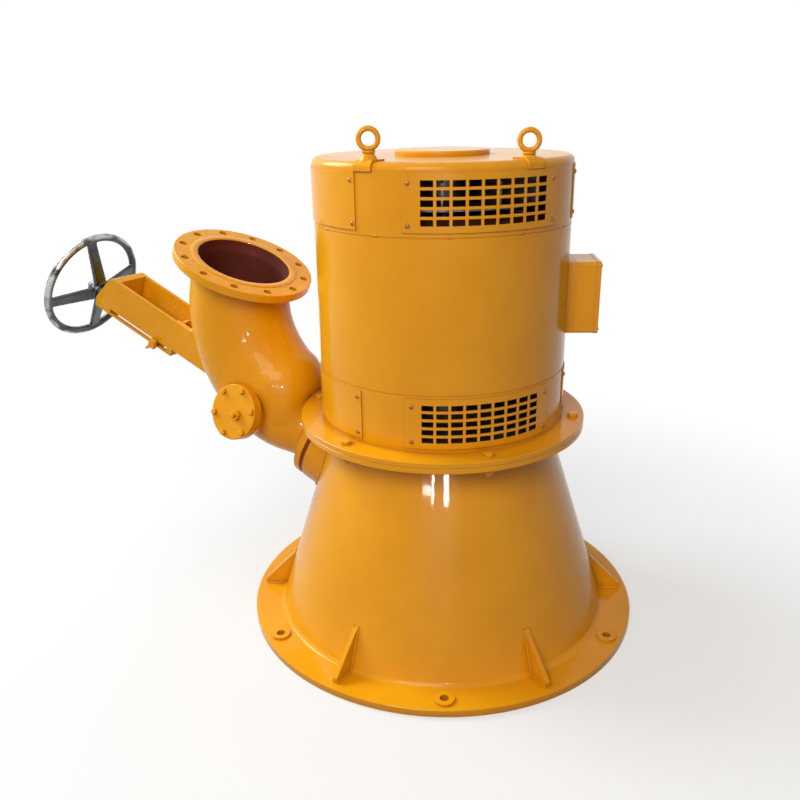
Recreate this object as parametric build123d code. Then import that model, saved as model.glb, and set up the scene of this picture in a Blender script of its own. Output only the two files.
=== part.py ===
from build123d import *
from math import cos, sin, tan, radians, sqrt, hypot, atan2, degrees
import os

# Vertical micro hydro set: an inclined-jet turbine housing with its generator on top.
# Millimetres. +Z is the machine axis, pointing up, and z = 0 is the underside of the foundation ring.
# -Y is the front. Azimuths are counted from the front, positive towards +X.

# Shared clearances
overrun = 40.0
seat_gap = 0.3
running_gap = 0.1
plate_gap = 0.3

edge_break = 1.5
full_turn = 360.0

# Foundation ring
ring_thickness = 20.0
ring_reach = 81.0
ring_lap = 29.0
anchor_circle_inset = 38.0
anchor_hole_radius = 11.0
anchor_boss_radius = 25.0
anchor_boss_height = 6.0
anchor_count = 6
anchor_first_azimuth = 1.0

# Conical housing
cone_top_z = 553.0
cone_top_inset = 32.0
cone_foot_radius = 459.0
cone_wall = 9.0

# Stiffening ribs of the foundation ring
rib_count = 6
rib_toe_inset = 20.0
rib_top_z = 130.0
rib_toe_height = 14.0
rib_thickness = 12.0

# Bolted flange pair between housing and generator
joint_flange_reach = 59.5
housing_flange_thickness = 14.0
generator_flange_thickness = 14.0
joint_bolt_circle_inset = 29.0
joint_bolt_hole_radius = 9.0
joint_bolt_count = 6
joint_bolt_first_azimuth = 18.5
housing_flange_bore_radius = 150.0

# Generator casing
casing_radius = 320.5
casing_wall = 5.0
casing_top_z = 1225.0
lower_band_height = 143.0
upper_band_height = 139.0
top_cover_edge_radius = 16.0
top_cover_thickness = 18.0
band_groove_depth = 1.2
band_groove_height = 3.0

# Round cover and lifting eyes on the top
centre_cover_radius = 117.0
centre_cover_height = 12.0
centre_cover_edge = 3.0
eye_azimuths = {"left": -32.4, "right": 39.4}
eye_pedestal_heights = {"left": 18.0, "right": 10.0}
eye_place_inset = 22.5
eye_foot_radius = 22.0
eye_neck_radius = 12.0
eye_collar_radius = 15.0
eye_collar_height = 5.0
eye_ring_mid_radius = 21.0
eye_ring_wire_radius = 6.0
eye_ring_sink = 3.0
eye_land_depth = 0.2
eye_tab_width = 47.0
eye_tab_depth = 20.0
eye_tab_reach = 4.0
eye_tab_back = 26.0

# Ventilation plates
vent_first_azimuth = 18.8
vent_plate_half_angle = 34.5
vent_plate_thickness = 2.5
upper_vent_foot_gap = 10.0
upper_vent_top_gap = 3.0
lower_vent_foot_gap = 11.0
lower_vent_top_gap = 8.0
vent_cell_columns = 9
vent_cell_rows = 5
vent_cell_pitch_angle = 6.15
vent_cell_width_angle = 4.95
vent_cell_border = 11.75
vent_bar_height = 6.5
vent_window_margin = 6.0

# Electrical parts inside the casing
stator_rib_depth = 15.5
stator_rib_count = 8
stator_rib_half_angle = 2.0
stator_core_depth = 108.0
stator_end_room = 41.0
winding_tube_radius = 38.0
shaft_radius = 32.0
shaft_foot_z = 250.0
rotor_gap = 2.0
bearing_radius = 62.0
bearing_height = 46.0
fan_rim_gap = 53.5
fan_hub_radius = 60.0
fan_hub_height = 62.0
fan_disc_thickness = 5.0
fan_rise = 38.0
fan_blade_count = 12
fan_blade_thickness = 4.0
fan_blade_inner_radius = 120.0

# Runner below the shaft
runner_hub_radius = 52.0
runner_hub_height = 46.0
runner_blade_count = 18
runner_blade_tip_radius = 108.0
runner_blade_thickness = 3.0
runner_blade_height = 34.0
runner_blade_tilt = 35.0
runner_band_thickness = 5.0

# Terminal box
box_azimuth = 90.0
box_neck_width = 104.0
box_neck_height = 156.0
box_neck_reach = 14.0
box_depth = 50.0
box_width = 128.0
box_height = 181.0
box_drop = 10.5
box_corner = 7.0
box_lid_thickness = 11.0
box_lid_overhang = 1.0

# Nozzle axis: it passes the machine axis on the front side and rises towards the handwheel
jet_angle = 22.5
nozzle_bearing = 27.5
nozzle_side_offset = 78.0
nozzle_origin_z = 296.0

# Pieces along the nozzle axis; their stations are distances from the nozzle origin
boss_radius = 112.0
boss_bore_radius = 74.0
boss_stand_out = 17.6724
boss_flange_setback = 40.0
spacer_thickness = 12.0
spacer_radius = 108.0
outlet_flange_radius = 110.0
outlet_flange_thickness = 20.0
outlet_flange_fillet = 8.0
nozzle_pipe_wall = 6.0
nozzle_mouth_radius = 34.0
nozzle_mouth_station = 165.0
nozzle_taper_length = 90.0

# Elbow casting
elbow_wall = 9.0
elbow_bend_reach = 402.0
elbow_neck_radius = 138.0
elbow_outlet_radius = 78.0
elbow_turns = (0.0, 7.5, 15.0, 30.0, 45.0, 60.0, 75.0, 90.0)
elbow_growth_shares = (0.0, 0.17, 0.53, 0.89, 1.02, 1.04, 1.02, 1.0)
elbow_straight = 12.0
inlet_flange_fillet = 12.0
inlet_reach = 373.0
inlet_flange_radius = 197.5
inlet_flange_thickness = 24.0
inlet_bore_radius = 131.0
inlet_bolt_circle_radius = 175.0
inlet_bolt_hole_radius = 11.0
inlet_bolt_count = 12
inlet_bolt_first_angle = 3.0

# Inspection cover on the near side of the elbow
cover_radius = 78.0
cover_thickness = 14.0
cover_pad_thickness = 16.0
cover_neck_radius = 62.0
cover_edge_radius = 2.0
cover_across = 38.0
cover_near = 174.0
cover_setback = 211.0
cover_direction_shares = (0.27, -0.95, 0.13)
cover_bolt_circle_radius = 67.0
cover_bolt_hole_radius = 5.5
cover_bolt_count = 6
plug_radius = 14.0
plug_height = 12.0
plug_place_share = 0.22

# Yoke that carries the handwheel
yoke_half_width = 60.0
yoke_plate_thickness = 10.0
yoke_low = -15.0
yoke_high = 108.0
yoke_root_high = 104.0
yoke_root_low = 8.0
yoke_root_depth = 90.0
yoke_root_reach = 149.0
yoke_root_fillet = 20.0
yoke_barrel_radius = 24.0
yoke_length = 326.0
yoke_end_thickness = 34.0
yoke_lean_foot = 18.0
yoke_lean_reach = 48.0
yoke_corner_radius = 24.0
yoke_slot_low = -8.0
yoke_slot_high = 4.0
yoke_slot_root_gap = 10.0
yoke_slot_end_gap = 66.0
yoke_pocket_half_width = 42.0
yoke_pocket_floor = 45.0
yoke_web_thickness = 10.0
yoke_web_top = 88.0
yoke_web_arch_radius = 60.0
end_boss_radius = 26.0
end_boss_length = 6.0

# Gland
gland_width = 92.0
gland_height = 44.0
gland_thickness = 12.0
gland_nose_radius = 20.0
gland_nose_length = 14.0
gland_stud_radius = 5.0
gland_stud_spacing = 68.0
gland_stud_length = 34.0

# Needle, its rod and the crosshead
needle_travel = 80.0
rod_radius = 14.5
rod_bore_radius = 10.6
rod_bore_depth = 110.0
needle_head_radius = 44.0
needle_head_length = 60.0
needle_cone_length = 95.0
needle_mouth_gap = 5.0
needle_shoulder_setback = 26.0
crosshead_root_gap = 39.0
crosshead_length = 32.0
crosshead_half_width = 42.0
crosshead_low = -16.0
crosshead_high = 22.0
pointer_height = 7.0
pointer_length = 14.0
pointer_gap = 6.0
pointer_block_depth = 14.0
pointer_block_low = -16.0
pointer_block_high = 10.0
pointer_block_length = 22.0
pointer_finger_depth = 8.0
pointer_finger_reach = 12.0
pointer_finger_drop = 17.0
pointer_finger_tip = 3.0

# Handwheel and its screw
screw_radius = 10.0
screw_foot_gap = 56.0
wheel_end_gap = 88.0
wheel_radius = 182.0
wheel_rim_radius = 11.5
wheel_hub_radius = 29.0
wheel_hub_end_gap = 16.0
wheel_hub_length = 58.0
wheel_spoke_width_hub = 34.0
wheel_spoke_width_rim = 24.0
wheel_spoke_thickness = 9.0
wheel_dish_depth = 38.0
wheel_spoke_phase = -11.0
wheel_spoke_count = 4
hub_nut_radius = 19.0
hub_nut_height = 14.0
hub_nut_sides = 6
hub_dome_height = 8.0

# Worked out from the driving sizes
ring_radius = cone_foot_radius + ring_reach
ring_bore_radius = cone_foot_radius - ring_lap
anchor_circle_radius = ring_radius - anchor_circle_inset
rib_toe_radius = ring_radius - rib_toe_inset
cone_top_radius = casing_radius - cone_top_inset
cone_slope = (cone_foot_radius - cone_top_radius) / (cone_top_z - ring_thickness)
joint_flange_radius = casing_radius + joint_flange_reach
joint_bolt_circle_radius = joint_flange_radius - joint_bolt_circle_inset
casing_foot_z = cone_top_z + housing_flange_thickness + generator_flange_thickness
lower_band_top_z = casing_foot_z + lower_band_height
upper_band_foot_z = casing_top_z - upper_band_height
upper_vent_foot_z = upper_band_foot_z + upper_vent_foot_gap
upper_vent_top_z = casing_top_z - upper_vent_top_gap
lower_vent_foot_z = casing_foot_z + lower_vent_foot_gap
lower_vent_top_z = lower_band_top_z - lower_vent_top_gap
eye_place_radius = casing_radius - eye_place_inset
stator_outer_radius = casing_radius - casing_wall - stator_rib_depth
stator_foot_z = lower_band_top_z + stator_end_room
stator_top_z = upper_band_foot_z - stator_end_room
rotor_radius = stator_outer_radius - stator_core_depth - rotor_gap
winding_mid_radius = (stator_outer_radius + rotor_radius) / 2
fan_radius = casing_radius - casing_wall - fan_rim_gap
fan_foot_z = upper_vent_foot_z + fan_rise
box_centre_z = (lower_band_top_z + upper_band_foot_z) / 2 - box_drop


def cone_station():
    """Distance from the nozzle origin at which the nozzle axis leaves the cone."""
    level = cos(radians(jet_angle))
    rise = cone_slope * sin(radians(jet_angle))
    reach = cone_foot_radius - cone_slope * (nozzle_origin_z - ring_thickness)
    spread = level * level - rise * rise
    root = reach * reach * rise * rise + spread * (reach * reach - nozzle_side_offset * nozzle_side_offset)
    return (sqrt(root) - reach * rise) / spread


flange_edge_station = sqrt(joint_flange_radius ** 2 - nozzle_side_offset ** 2) / cos(radians(jet_angle))
boss_end_station = max(cone_station() + boss_stand_out, flange_edge_station - boss_flange_setback)
spacer_station = boss_end_station
outlet_flange_station = spacer_station + spacer_thickness
elbow_foot_station = outlet_flange_station + outlet_flange_thickness
elbow_station = elbow_foot_station + elbow_bend_reach
cover_station = elbow_station - cover_setback
inlet_flange_foot = inlet_reach - inlet_flange_thickness
bend_height = inlet_flange_foot - elbow_straight
yoke_start_station = elbow_station - yoke_root_depth
yoke_root_station = elbow_station + yoke_root_reach
yoke_end_station = yoke_root_station + yoke_length
yoke_slot_first_station = yoke_root_station + yoke_slot_root_gap
yoke_slot_last_station = yoke_end_station - yoke_slot_end_gap
crosshead_station = yoke_root_station + crosshead_root_gap
screw_foot_station = yoke_root_station + screw_foot_gap
wheel_station = yoke_end_station + wheel_end_gap
wheel_hub_foot_station = yoke_end_station + wheel_hub_end_gap
wheel_hub_head_station = wheel_hub_foot_station + wheel_hub_length
wheel_spoke_foot_station = wheel_station - wheel_dish_depth

# Directions of the nozzle side
inward = Vector(cos(radians(nozzle_bearing)), -sin(radians(nozzle_bearing)), 0)
near_side = Vector(-sin(radians(nozzle_bearing)), -cos(radians(nozzle_bearing)), 0)
up = Vector(0, 0, 1)
nozzle_out = inward * -cos(radians(jet_angle)) + up * sin(radians(jet_angle))
nozzle_up = inward * sin(radians(jet_angle)) + up * cos(radians(jet_angle))
nozzle_origin = near_side * nozzle_side_offset + up * nozzle_origin_z
nozzle_plane = Plane(origin=nozzle_origin, x_dir=nozzle_up, z_dir=nozzle_out)


def save(solid, name):
    solid.label = name
    export_step(solid, f"parts/{name}.step")


def at_azimuth(azimuth):
    """Turn about the machine axis that brings the front to an azimuth."""
    return Rot(0, 0, azimuth)


def pipe(radius, height, z=0.0):
    """Upright cylinder that starts at a height."""
    return Pos(0, 0, z) * Cylinder(radius, height, align=(Align.CENTER, Align.CENTER, Align.MIN))


def tube(outer, inner, height, z=0.0):
    return pipe(outer, height, z) - pipe(inner, height + 2 * overrun, z - overrun)


def spin(points):
    """Solid of revolution about Z from (radius, height) points."""
    profile = make_face(Plane.XZ * Polyline(*points, close=True))
    return revolve(profile, axis=Axis.Z)


def on_nozzle(solid):
    return nozzle_plane.location * solid


def along(radius, first, last):
    """Cylinder on the nozzle axis between two stations."""
    return pipe(radius, last - first, first)


def broken(solid, size=edge_break):
    """Chamfers the outermost round edges of a turned disc or ring."""
    rims = solid.edges().filter_by(GeomType.CIRCLE).group_by(SortBy.RADIUS)[-1]
    return chamfer(rims, size)


def cone_radius(z):
    return cone_foot_radius - (z - ring_thickness) * cone_slope


def cone_solid(inset):
    """The housing's cone, inset by a distance square to its slope."""
    level_inset = inset * sqrt(1 + cone_slope * cone_slope)
    foot = cone_radius(ring_thickness) - level_inset
    top = cone_radius(cone_top_z) - level_inset
    return spin([(0, ring_thickness), (foot, ring_thickness), (top, cone_top_z), (0, cone_top_z)])


def ring_holes(radius, count, hole_radius, first, height, z):
    cutters = Part()
    for index in range(count):
        turn = at_azimuth(first + index * full_turn / count)
        cutters += turn * Pos(0, -radius, 0) * pipe(hole_radius, height, z)
    return cutters


def foundation_ring():
    body = broken(tube(ring_radius, ring_bore_radius, ring_thickness))
    height = anchor_boss_height
    body += ring_holes(anchor_circle_radius, anchor_count, anchor_boss_radius,
                       anchor_first_azimuth, height, ring_thickness)
    body -= ring_holes(anchor_circle_radius, anchor_count, anchor_hole_radius,
                       anchor_first_azimuth, ring_thickness + height + 2 * overrun, -overrun)
    return body


def housing_cone():
    boss = on_nozzle(along(boss_radius, 0, elbow_foot_station))
    return cone_solid(0) - cone_solid(cone_wall) - boss


def foundation_ribs():
    """Six upright gussets between the cone and the foundation ring."""
    foot_z = ring_thickness
    inner_top = cone_radius(rib_top_z)
    inner_foot = cone_radius(foot_z)
    outline = Polyline(
        (inner_foot, foot_z),
        (rib_toe_radius, foot_z),
        (rib_toe_radius, foot_z + rib_toe_height),
        (inner_top, rib_top_z),
        close=True,
    )
    blade = extrude(make_face(Plane.XZ * outline), rib_thickness / 2, both=True)
    blade -= cone_solid(0)
    ribs = Part()
    rib_pitch = full_turn / rib_count
    for index in range(rib_count):
        turn = at_azimuth(rib_pitch / 2 + index * rib_pitch - full_turn / 4)
        ribs += turn * blade
    return ribs


def joint_flange(z, thickness, bore_radius):
    body = broken(tube(joint_flange_radius, bore_radius, thickness, z))
    body -= ring_holes(joint_bolt_circle_radius, joint_bolt_count, joint_bolt_hole_radius,
                       joint_bolt_first_azimuth, thickness + 2 * overrun, z - overrun)
    return body


def arc_slab(inner, outer, half_angle, azimuth, z_low, z_high):
    """Part of an upright ring between two heights, centred on an azimuth."""
    far = outer + overrun
    left = (-far * sin(radians(half_angle)), -far * cos(radians(half_angle)))
    right = (far * sin(radians(half_angle)), -far * cos(radians(half_angle)))
    tip = (0, -far / cos(radians(half_angle)))
    wedge = make_face(Polyline((0, 0), left, tip, right, close=True))
    body = extrude(wedge, z_high - z_low)
    body = Pos(0, 0, z_low) * body
    body = body & tube(outer, inner, z_high - z_low, z_low)
    return at_azimuth(azimuth) * body


def vent_window(azimuth, foot_z, top_z):
    """Opening in the casing behind a ventilation plate."""
    half_angle = vent_plate_half_angle - degrees(vent_window_margin * 2 / casing_radius)
    margin = 2 * vent_window_margin
    return arc_slab(casing_radius - casing_wall - overrun / 2, casing_radius + overrun / 2,
                    half_angle, azimuth, foot_z + margin, top_z - margin)


def casing_band(z_low, z_high, vents):
    body = tube(casing_radius, casing_radius - casing_wall, z_high - z_low, z_low)
    if vents:
        foot_z, top_z = vents
        for turn in (0, full_turn / 2):
            body -= vent_window(vent_first_azimuth + turn, foot_z, top_z)
    return body


def casing_groove(z):
    """Shallow turned groove where two casing rings meet."""
    depth = band_groove_depth
    return tube(casing_radius + overrun, casing_radius - depth, band_groove_height, z)


def top_cover():
    thickness = top_cover_thickness
    body = pipe(casing_radius, thickness, casing_top_z)
    rim = body.edges().filter_by(GeomType.CIRCLE).sort_by(Axis.Z)[-1]
    return fillet(rim, top_cover_edge_radius)


def centre_cover():
    top = casing_top_z + top_cover_thickness
    body = pipe(centre_cover_radius, centre_cover_height, top)
    rim = body.edges().filter_by(GeomType.CIRCLE).sort_by(Axis.Z)[-1]
    return chamfer(rim, centre_cover_edge)


def lifting_eye(azimuth, pedestal_height):
    """Eye bolt on a flared foot; a tab of the foot folds over the rounded rim."""
    top = casing_top_z + top_cover_thickness
    pedestal = Cone(eye_foot_radius, eye_neck_radius, pedestal_height,
                    align=(Align.CENTER, Align.CENTER, Align.MIN))
    collar_z = top + pedestal_height
    ring_z = collar_z + eye_collar_height + eye_ring_mid_radius + eye_ring_wire_radius - eye_ring_sink
    body = Pos(0, 0, top) * pedestal + pipe(eye_collar_radius, eye_collar_height, collar_z)
    wire = Torus(eye_ring_mid_radius, eye_ring_wire_radius)
    land_radius = eye_ring_mid_radius - eye_ring_wire_radius + eye_land_depth
    land = pipe(land_radius, 2 * eye_ring_wire_radius, -eye_ring_wire_radius)
    body += Pos(0, 0, ring_z) * Rot(full_turn / 4, 0, 0) * wire
    body -= Pos(0, 0, ring_z) * Rot(full_turn / 4, 0, 0) * land
    body = at_azimuth(azimuth) * Pos(0, -eye_place_radius, 0) * at_azimuth(-azimuth) * body
    outer = casing_radius + eye_tab_reach
    inner = eye_place_radius - eye_tab_back
    tab = Pos(0, -(outer + inner) / 2, top - eye_tab_depth) * Box(
        eye_tab_width, outer - inner, eye_tab_depth + eye_tab_reach,
        align=(Align.CENTER, Align.CENTER, Align.MIN))
    front_top = tab.edges().filter_by(Axis.X).group_by(Axis.Z)[-1].sort_by(Axis.Y)[0]
    tab = fillet(front_top, top_cover_edge_radius)
    casing = pipe(casing_radius, top, 0)
    rim = casing.edges().filter_by(GeomType.CIRCLE).sort_by(Axis.Z)[-1]
    tab -= fillet(rim, top_cover_edge_radius)
    return body + at_azimuth(azimuth) * tab


def vent_plate(azimuth, foot_z, top_z, cells):
    inner = casing_radius + plate_gap
    outer = inner + vent_plate_thickness
    body = arc_slab(inner, outer, vent_plate_half_angle, azimuth, foot_z, top_z)
    if not cells:
        return body
    middle_z = (foot_z + top_z) / 2
    pitch_z = (top_z - foot_z - 2 * vent_cell_border) / vent_cell_rows
    for column in range(vent_cell_columns):
        turn = (column - (vent_cell_columns - 1) / 2) * vent_cell_pitch_angle
        for row in range(vent_cell_rows):
            cell_z = middle_z + (row - (vent_cell_rows - 1) / 2) * pitch_z
            width = 2 * outer * sin(radians(vent_cell_width_angle / 2))
            cutter = Pos(0, -outer, cell_z) * Box(width, 2 * overrun, pitch_z - vent_bar_height)
            body -= at_azimuth(azimuth + turn) * cutter
    return body


def stator_core():
    height = stator_top_z - stator_foot_z
    body = tube(stator_outer_radius, rotor_radius + rotor_gap, height, stator_foot_z)
    return body


def windings():
    low = Pos(0, 0, stator_foot_z - winding_tube_radius) * Torus(winding_mid_radius, winding_tube_radius)
    high = Pos(0, 0, stator_top_z + winding_tube_radius) * Torus(winding_mid_radius, winding_tube_radius)
    return low + high


def stator_ribs():
    """Upright ribs that hold the core in the casing."""
    inner = stator_outer_radius
    outer = casing_radius - casing_wall
    height = stator_top_z - stator_foot_z
    ribs = Part()
    pitch = full_turn / stator_rib_count
    for index in range(stator_rib_count):
        azimuth = vent_first_azimuth + pitch / 2 + index * pitch
        ribs += arc_slab(inner, outer, stator_rib_half_angle, azimuth, stator_foot_z, stator_foot_z + height)
    return ribs


def main_shaft():
    return pipe(shaft_radius, casing_top_z - shaft_foot_z, shaft_foot_z)


def lower_bearing():
    return tube(bearing_radius, shaft_radius, bearing_height, casing_foot_z)


def cooling_fan():
    """Radial fan on the shaft behind the upper grilles."""
    body = tube(fan_hub_radius, shaft_radius, fan_hub_height, fan_foot_z)
    body += tube(fan_radius, shaft_radius, fan_disc_thickness, fan_foot_z)
    length = fan_radius - fan_blade_inner_radius
    middle = (fan_radius + fan_blade_inner_radius) / 2
    blade = Pos(0, -middle, fan_foot_z) * Box(
        fan_blade_thickness, length, fan_hub_height, align=(Align.CENTER, Align.CENTER, Align.MIN))
    for index in range(fan_blade_count):
        body += at_azimuth(index * full_turn / fan_blade_count) * blade
    return body


def rotor():
    height = stator_top_z - stator_foot_z
    return tube(rotor_radius, shaft_radius, height, stator_foot_z)


def runner():
    """Inclined-jet runner: a hub, tilted blades and a rim band below the shaft."""
    middle = nozzle_origin_z
    foot = middle - runner_hub_height / 2
    hub = tube(runner_hub_radius, shaft_radius, runner_hub_height, foot)
    length = runner_blade_tip_radius - runner_hub_radius + runner_band_thickness
    blade = Box(runner_blade_thickness, length, runner_blade_height)
    blade = Rot(0, runner_blade_tilt, 0) * blade
    blade = Pos(0, -(runner_hub_radius + length / 2 - runner_band_thickness / 2), middle) * blade
    body = hub
    for index in range(runner_blade_count):
        body += at_azimuth(index * full_turn / runner_blade_count) * blade
    inner = runner_blade_tip_radius - runner_band_thickness
    band_height = runner_blade_height * cos(radians(runner_blade_tilt))
    body += tube(runner_blade_tip_radius, inner, band_height, middle - band_height / 2)
    return body - pipe(shaft_radius, runner_hub_height + 2 * overrun, foot - overrun)


def terminal_neck():
    reach = box_neck_reach
    start = casing_radius - casing_wall
    depth = casing_radius + reach - start
    body = Pos(0, -(start + depth / 2), box_centre_z) * Box(box_neck_width, depth, box_neck_height)
    body -= pipe(casing_radius, box_neck_height + 2 * overrun, box_centre_z - box_neck_height)
    return at_azimuth(box_azimuth) * body


def terminal_box():
    start = casing_radius + box_neck_reach
    body = Pos(0, -(start + box_depth / 2), box_centre_z) * Box(box_width, box_depth, box_height)
    body = fillet(body.edges().filter_by(Axis.Y), box_corner)
    return at_azimuth(box_azimuth) * body


def terminal_lid():
    start = casing_radius + box_neck_reach + box_depth
    width = box_width + 2 * box_lid_overhang
    height = box_height + 2 * box_lid_overhang
    body = Pos(0, -(start + box_lid_thickness / 2), box_centre_z) * Box(width, box_lid_thickness, height)
    body = fillet(body.edges().filter_by(Axis.Y), box_corner + box_lid_overhang)
    outer = body.faces().sort_by(Axis.Y)[0]
    body = chamfer(outer.edges(), box_lid_overhang)
    return at_azimuth(box_azimuth) * body


def nozzle_boss():
    """Machined boss on the cone that takes the nozzle; it stops at the cone's inner face."""
    body = broken(along(boss_radius, 0, boss_end_station))
    body -= along(boss_bore_radius, -overrun, boss_end_station + overrun)
    return on_nozzle(body) - cone_solid(cone_wall)


def spacer_ring():
    last = spacer_station + spacer_thickness
    body = broken(along(spacer_radius, spacer_station, last))
    return on_nozzle(body - along(boss_bore_radius, spacer_station - overrun, last + overrun))


def outlet_flange():
    first = outlet_flange_station
    last = elbow_foot_station
    inner = elbow_outlet_radius - elbow_wall
    body = broken(along(outlet_flange_radius, first, last))
    return on_nozzle(body - along(inner, first - overrun, last + overrun))


def neck_fillet(radius, size):
    """Ring that rounds the corner between a neck and the flange above it; the flange is at z = 0."""
    inner = radius - size / 2
    sunk = radius - seat_gap
    share = sin(radians(full_turn / 8))
    start = (sunk, -size)
    middle = (sunk + size * (1 - share), -size * (1 - share))
    end = (sunk + size, 0)
    outline = Polyline(end, (inner, 0), (inner, -size), start) + ThreePointArc(start, middle, end)
    return revolve(make_face(Plane.XZ * outline), axis=Axis.Z)


def nozzle_points():
    """Outline of the nozzle pipe: radius and station, outer wall then inner wall."""
    wall = nozzle_pipe_wall
    outer = boss_bore_radius
    taper_station = nozzle_mouth_station + nozzle_taper_length
    return [
        (outer, boss_end_station),
        (outer, taper_station),
        (nozzle_mouth_radius + wall, nozzle_mouth_station),
        (nozzle_mouth_radius, nozzle_mouth_station),
        (outer - wall, taper_station),
        (outer - wall, boss_end_station),
    ]


def nozzle_pipe():
    return on_nozzle(spin(nozzle_points()))


def elbow_sections(inset):
    """Circles along the elbow's middle line, from the outlet up to the inlet flange."""
    sections = []
    growth = elbow_neck_radius - elbow_outlet_radius
    for turn, share in zip(elbow_turns, elbow_growth_shares):
        across = bend_height * (1 - cos(radians(turn)))
        station = elbow_foot_station + elbow_bend_reach * sin(radians(turn))
        lean = degrees(atan2(bend_height * sin(radians(turn)), elbow_bend_reach * cos(radians(turn))))
        sections.append((across, station, lean, elbow_outlet_radius + growth * share - inset))
    sections.append((inlet_flange_foot, elbow_station, full_turn / 4, elbow_neck_radius - inset))
    return sections


def elbow_solid(inset):
    circles = []
    for across, station, angle, radius in elbow_sections(inset):
        circles.append(Pos(across, 0, station) * Rot(0, angle, 0) * Circle(radius))
    return loft(circles)


def rod_passage(radius):
    return along(radius, elbow_foot_station, yoke_end_station + overrun)


def cover_plane():
    direction = Vector(*cover_direction_shares)
    origin = Vector(cover_across, -cover_near, cover_station)
    return Plane(origin=origin, z_dir=direction)


def cover_neck():
    depth = cover_near
    body = Pos(0, 0, -depth) * pipe(cover_neck_radius, depth - cover_thickness - cover_pad_thickness)
    return cover_plane().location * body


def elbow_outer():
    """Outside of the elbow casting: the bend, the neck of the cover and the roots of both flanges."""
    joined = elbow_solid(0) + cover_neck()
    inlet_root = Rot(0, full_turn / 4, 0) * neck_fillet(elbow_neck_radius, inlet_flange_fillet)
    outlet_root = Rot(full_turn / 2, 0, 0) * neck_fillet(elbow_outlet_radius, outlet_flange_fillet)
    joined += Pos(inlet_flange_foot, 0, elbow_station) * inlet_root
    return joined + Pos(0, 0, elbow_foot_station) * outlet_root


def elbow_body():
    outer = elbow_outer()
    bore = elbow_solid(elbow_wall) + cover_plane().location * (
        Pos(0, 0, -cover_near) * pipe(cover_neck_radius - elbow_wall, cover_near))
    body = outer - bore - rod_passage(rod_radius + running_gap)
    size = 2 * (elbow_station + inlet_reach + elbow_neck_radius)
    keep = Pos(0, 0, elbow_foot_station) * Box(
        size, size, size, align=(Align.CENTER, Align.CENTER, Align.MIN))
    return on_nozzle(body & keep)


def inlet_flange():
    body = broken(pipe(inlet_flange_radius, inlet_flange_thickness, inlet_flange_foot))
    body -= pipe(inlet_bore_radius, inlet_reach + overrun)
    for index in range(inlet_bolt_count):
        turn = Rot(0, 0, inlet_bolt_first_angle + index * full_turn / inlet_bolt_count)
        place = turn * Pos(inlet_bolt_circle_radius, 0, inlet_flange_foot - overrun)
        body -= place * pipe(inlet_bolt_hole_radius, inlet_flange_thickness + 2 * overrun)
    upright = Pos(0, 0, elbow_station) * Rot(0, full_turn / 4, 0)
    return on_nozzle(upright * body)


def cover_bolt_cutters(depth):
    cutters = Part()
    for index in range(cover_bolt_count):
        turn = Rot(0, 0, index * full_turn / cover_bolt_count)
        cutters += turn * Pos(cover_bolt_circle_radius, 0, -depth) * pipe(cover_bolt_hole_radius, 2 * depth)
    return cutters


def cover_pad():
    low = -cover_thickness - cover_pad_thickness
    body = pipe(cover_radius, cover_pad_thickness, low)
    body -= pipe(cover_neck_radius - elbow_wall, 2 * cover_pad_thickness, low - cover_pad_thickness / 2)
    body -= cover_bolt_cutters(-low + overrun)
    return on_nozzle(cover_plane().location * body - elbow_solid(0))


def inspection_cover():
    body = pipe(cover_radius, cover_thickness, -cover_thickness)
    rim = body.edges().filter_by(GeomType.CIRCLE).sort_by(Axis.Z)[-1]
    body = fillet(rim, cover_edge_radius)
    body -= cover_bolt_cutters(cover_thickness + overrun)
    place = cover_radius * plug_place_share
    body += Pos(0, place, 0) * pipe(plug_radius, plug_height)
    return on_nozzle(cover_plane().location * body)


def yoke_outline():
    """Side view of a yoke plate: height across the axis against station."""
    return Polyline(
        (yoke_root_low, yoke_start_station),
        (yoke_root_low, yoke_root_station - yoke_plate_thickness),
        (yoke_low, yoke_root_station - yoke_plate_thickness),
        (yoke_low, yoke_end_station),
        (yoke_lean_foot, yoke_end_station),
        (yoke_high, yoke_end_station - yoke_lean_reach),
        (yoke_root_high, yoke_root_station),
        (yoke_root_high, yoke_start_station),
        close=True,
    )


def yoke_block(half_width, outline):
    face = make_face(Plane.XZ * outline)
    return extrude(face, half_width, both=True)


def yoke_casting():
    """Outside of the yoke, with the cast fillet that runs it into the elbow."""
    elbow = elbow_solid(0)
    block = yoke_block(yoke_half_width, yoke_outline())
    end_edges = block.edges().filter_by(Axis.Y).sort_by(Axis.Z)[-3:]
    block = fillet(end_edges.sort_by(Axis.X)[1:], yoke_corner_radius)
    joined = elbow + block
    seam = []
    for edge in joined.edges():
        place = edge @ 0.5
        low = place.X < yoke_high + yoke_root_fillet
        near = abs(place.Y) < yoke_half_width + seat_gap and place.Z > yoke_start_station
        if low and near and edge.geom_type not in (GeomType.LINE, GeomType.CIRCLE):
            seam.append(edge)
    body = fillet(seam, yoke_root_fillet)
    body += along(yoke_barrel_radius, yoke_start_station, yoke_root_station)
    return body - elbow


def yoke_pocket():
    """Open pocket between the web at the yoke's root and the elbow."""
    depth = yoke_root_station - yoke_start_station
    height = yoke_high + overrun - yoke_pocket_floor
    box = Box(height, 2 * yoke_pocket_half_width, depth, align=(Align.MIN, Align.CENTER, Align.MAX))
    box = fillet(box.edges().filter_by(Axis.X), yoke_web_thickness / 2)
    return Pos(yoke_pocket_floor, 0, yoke_root_station) * box


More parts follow.
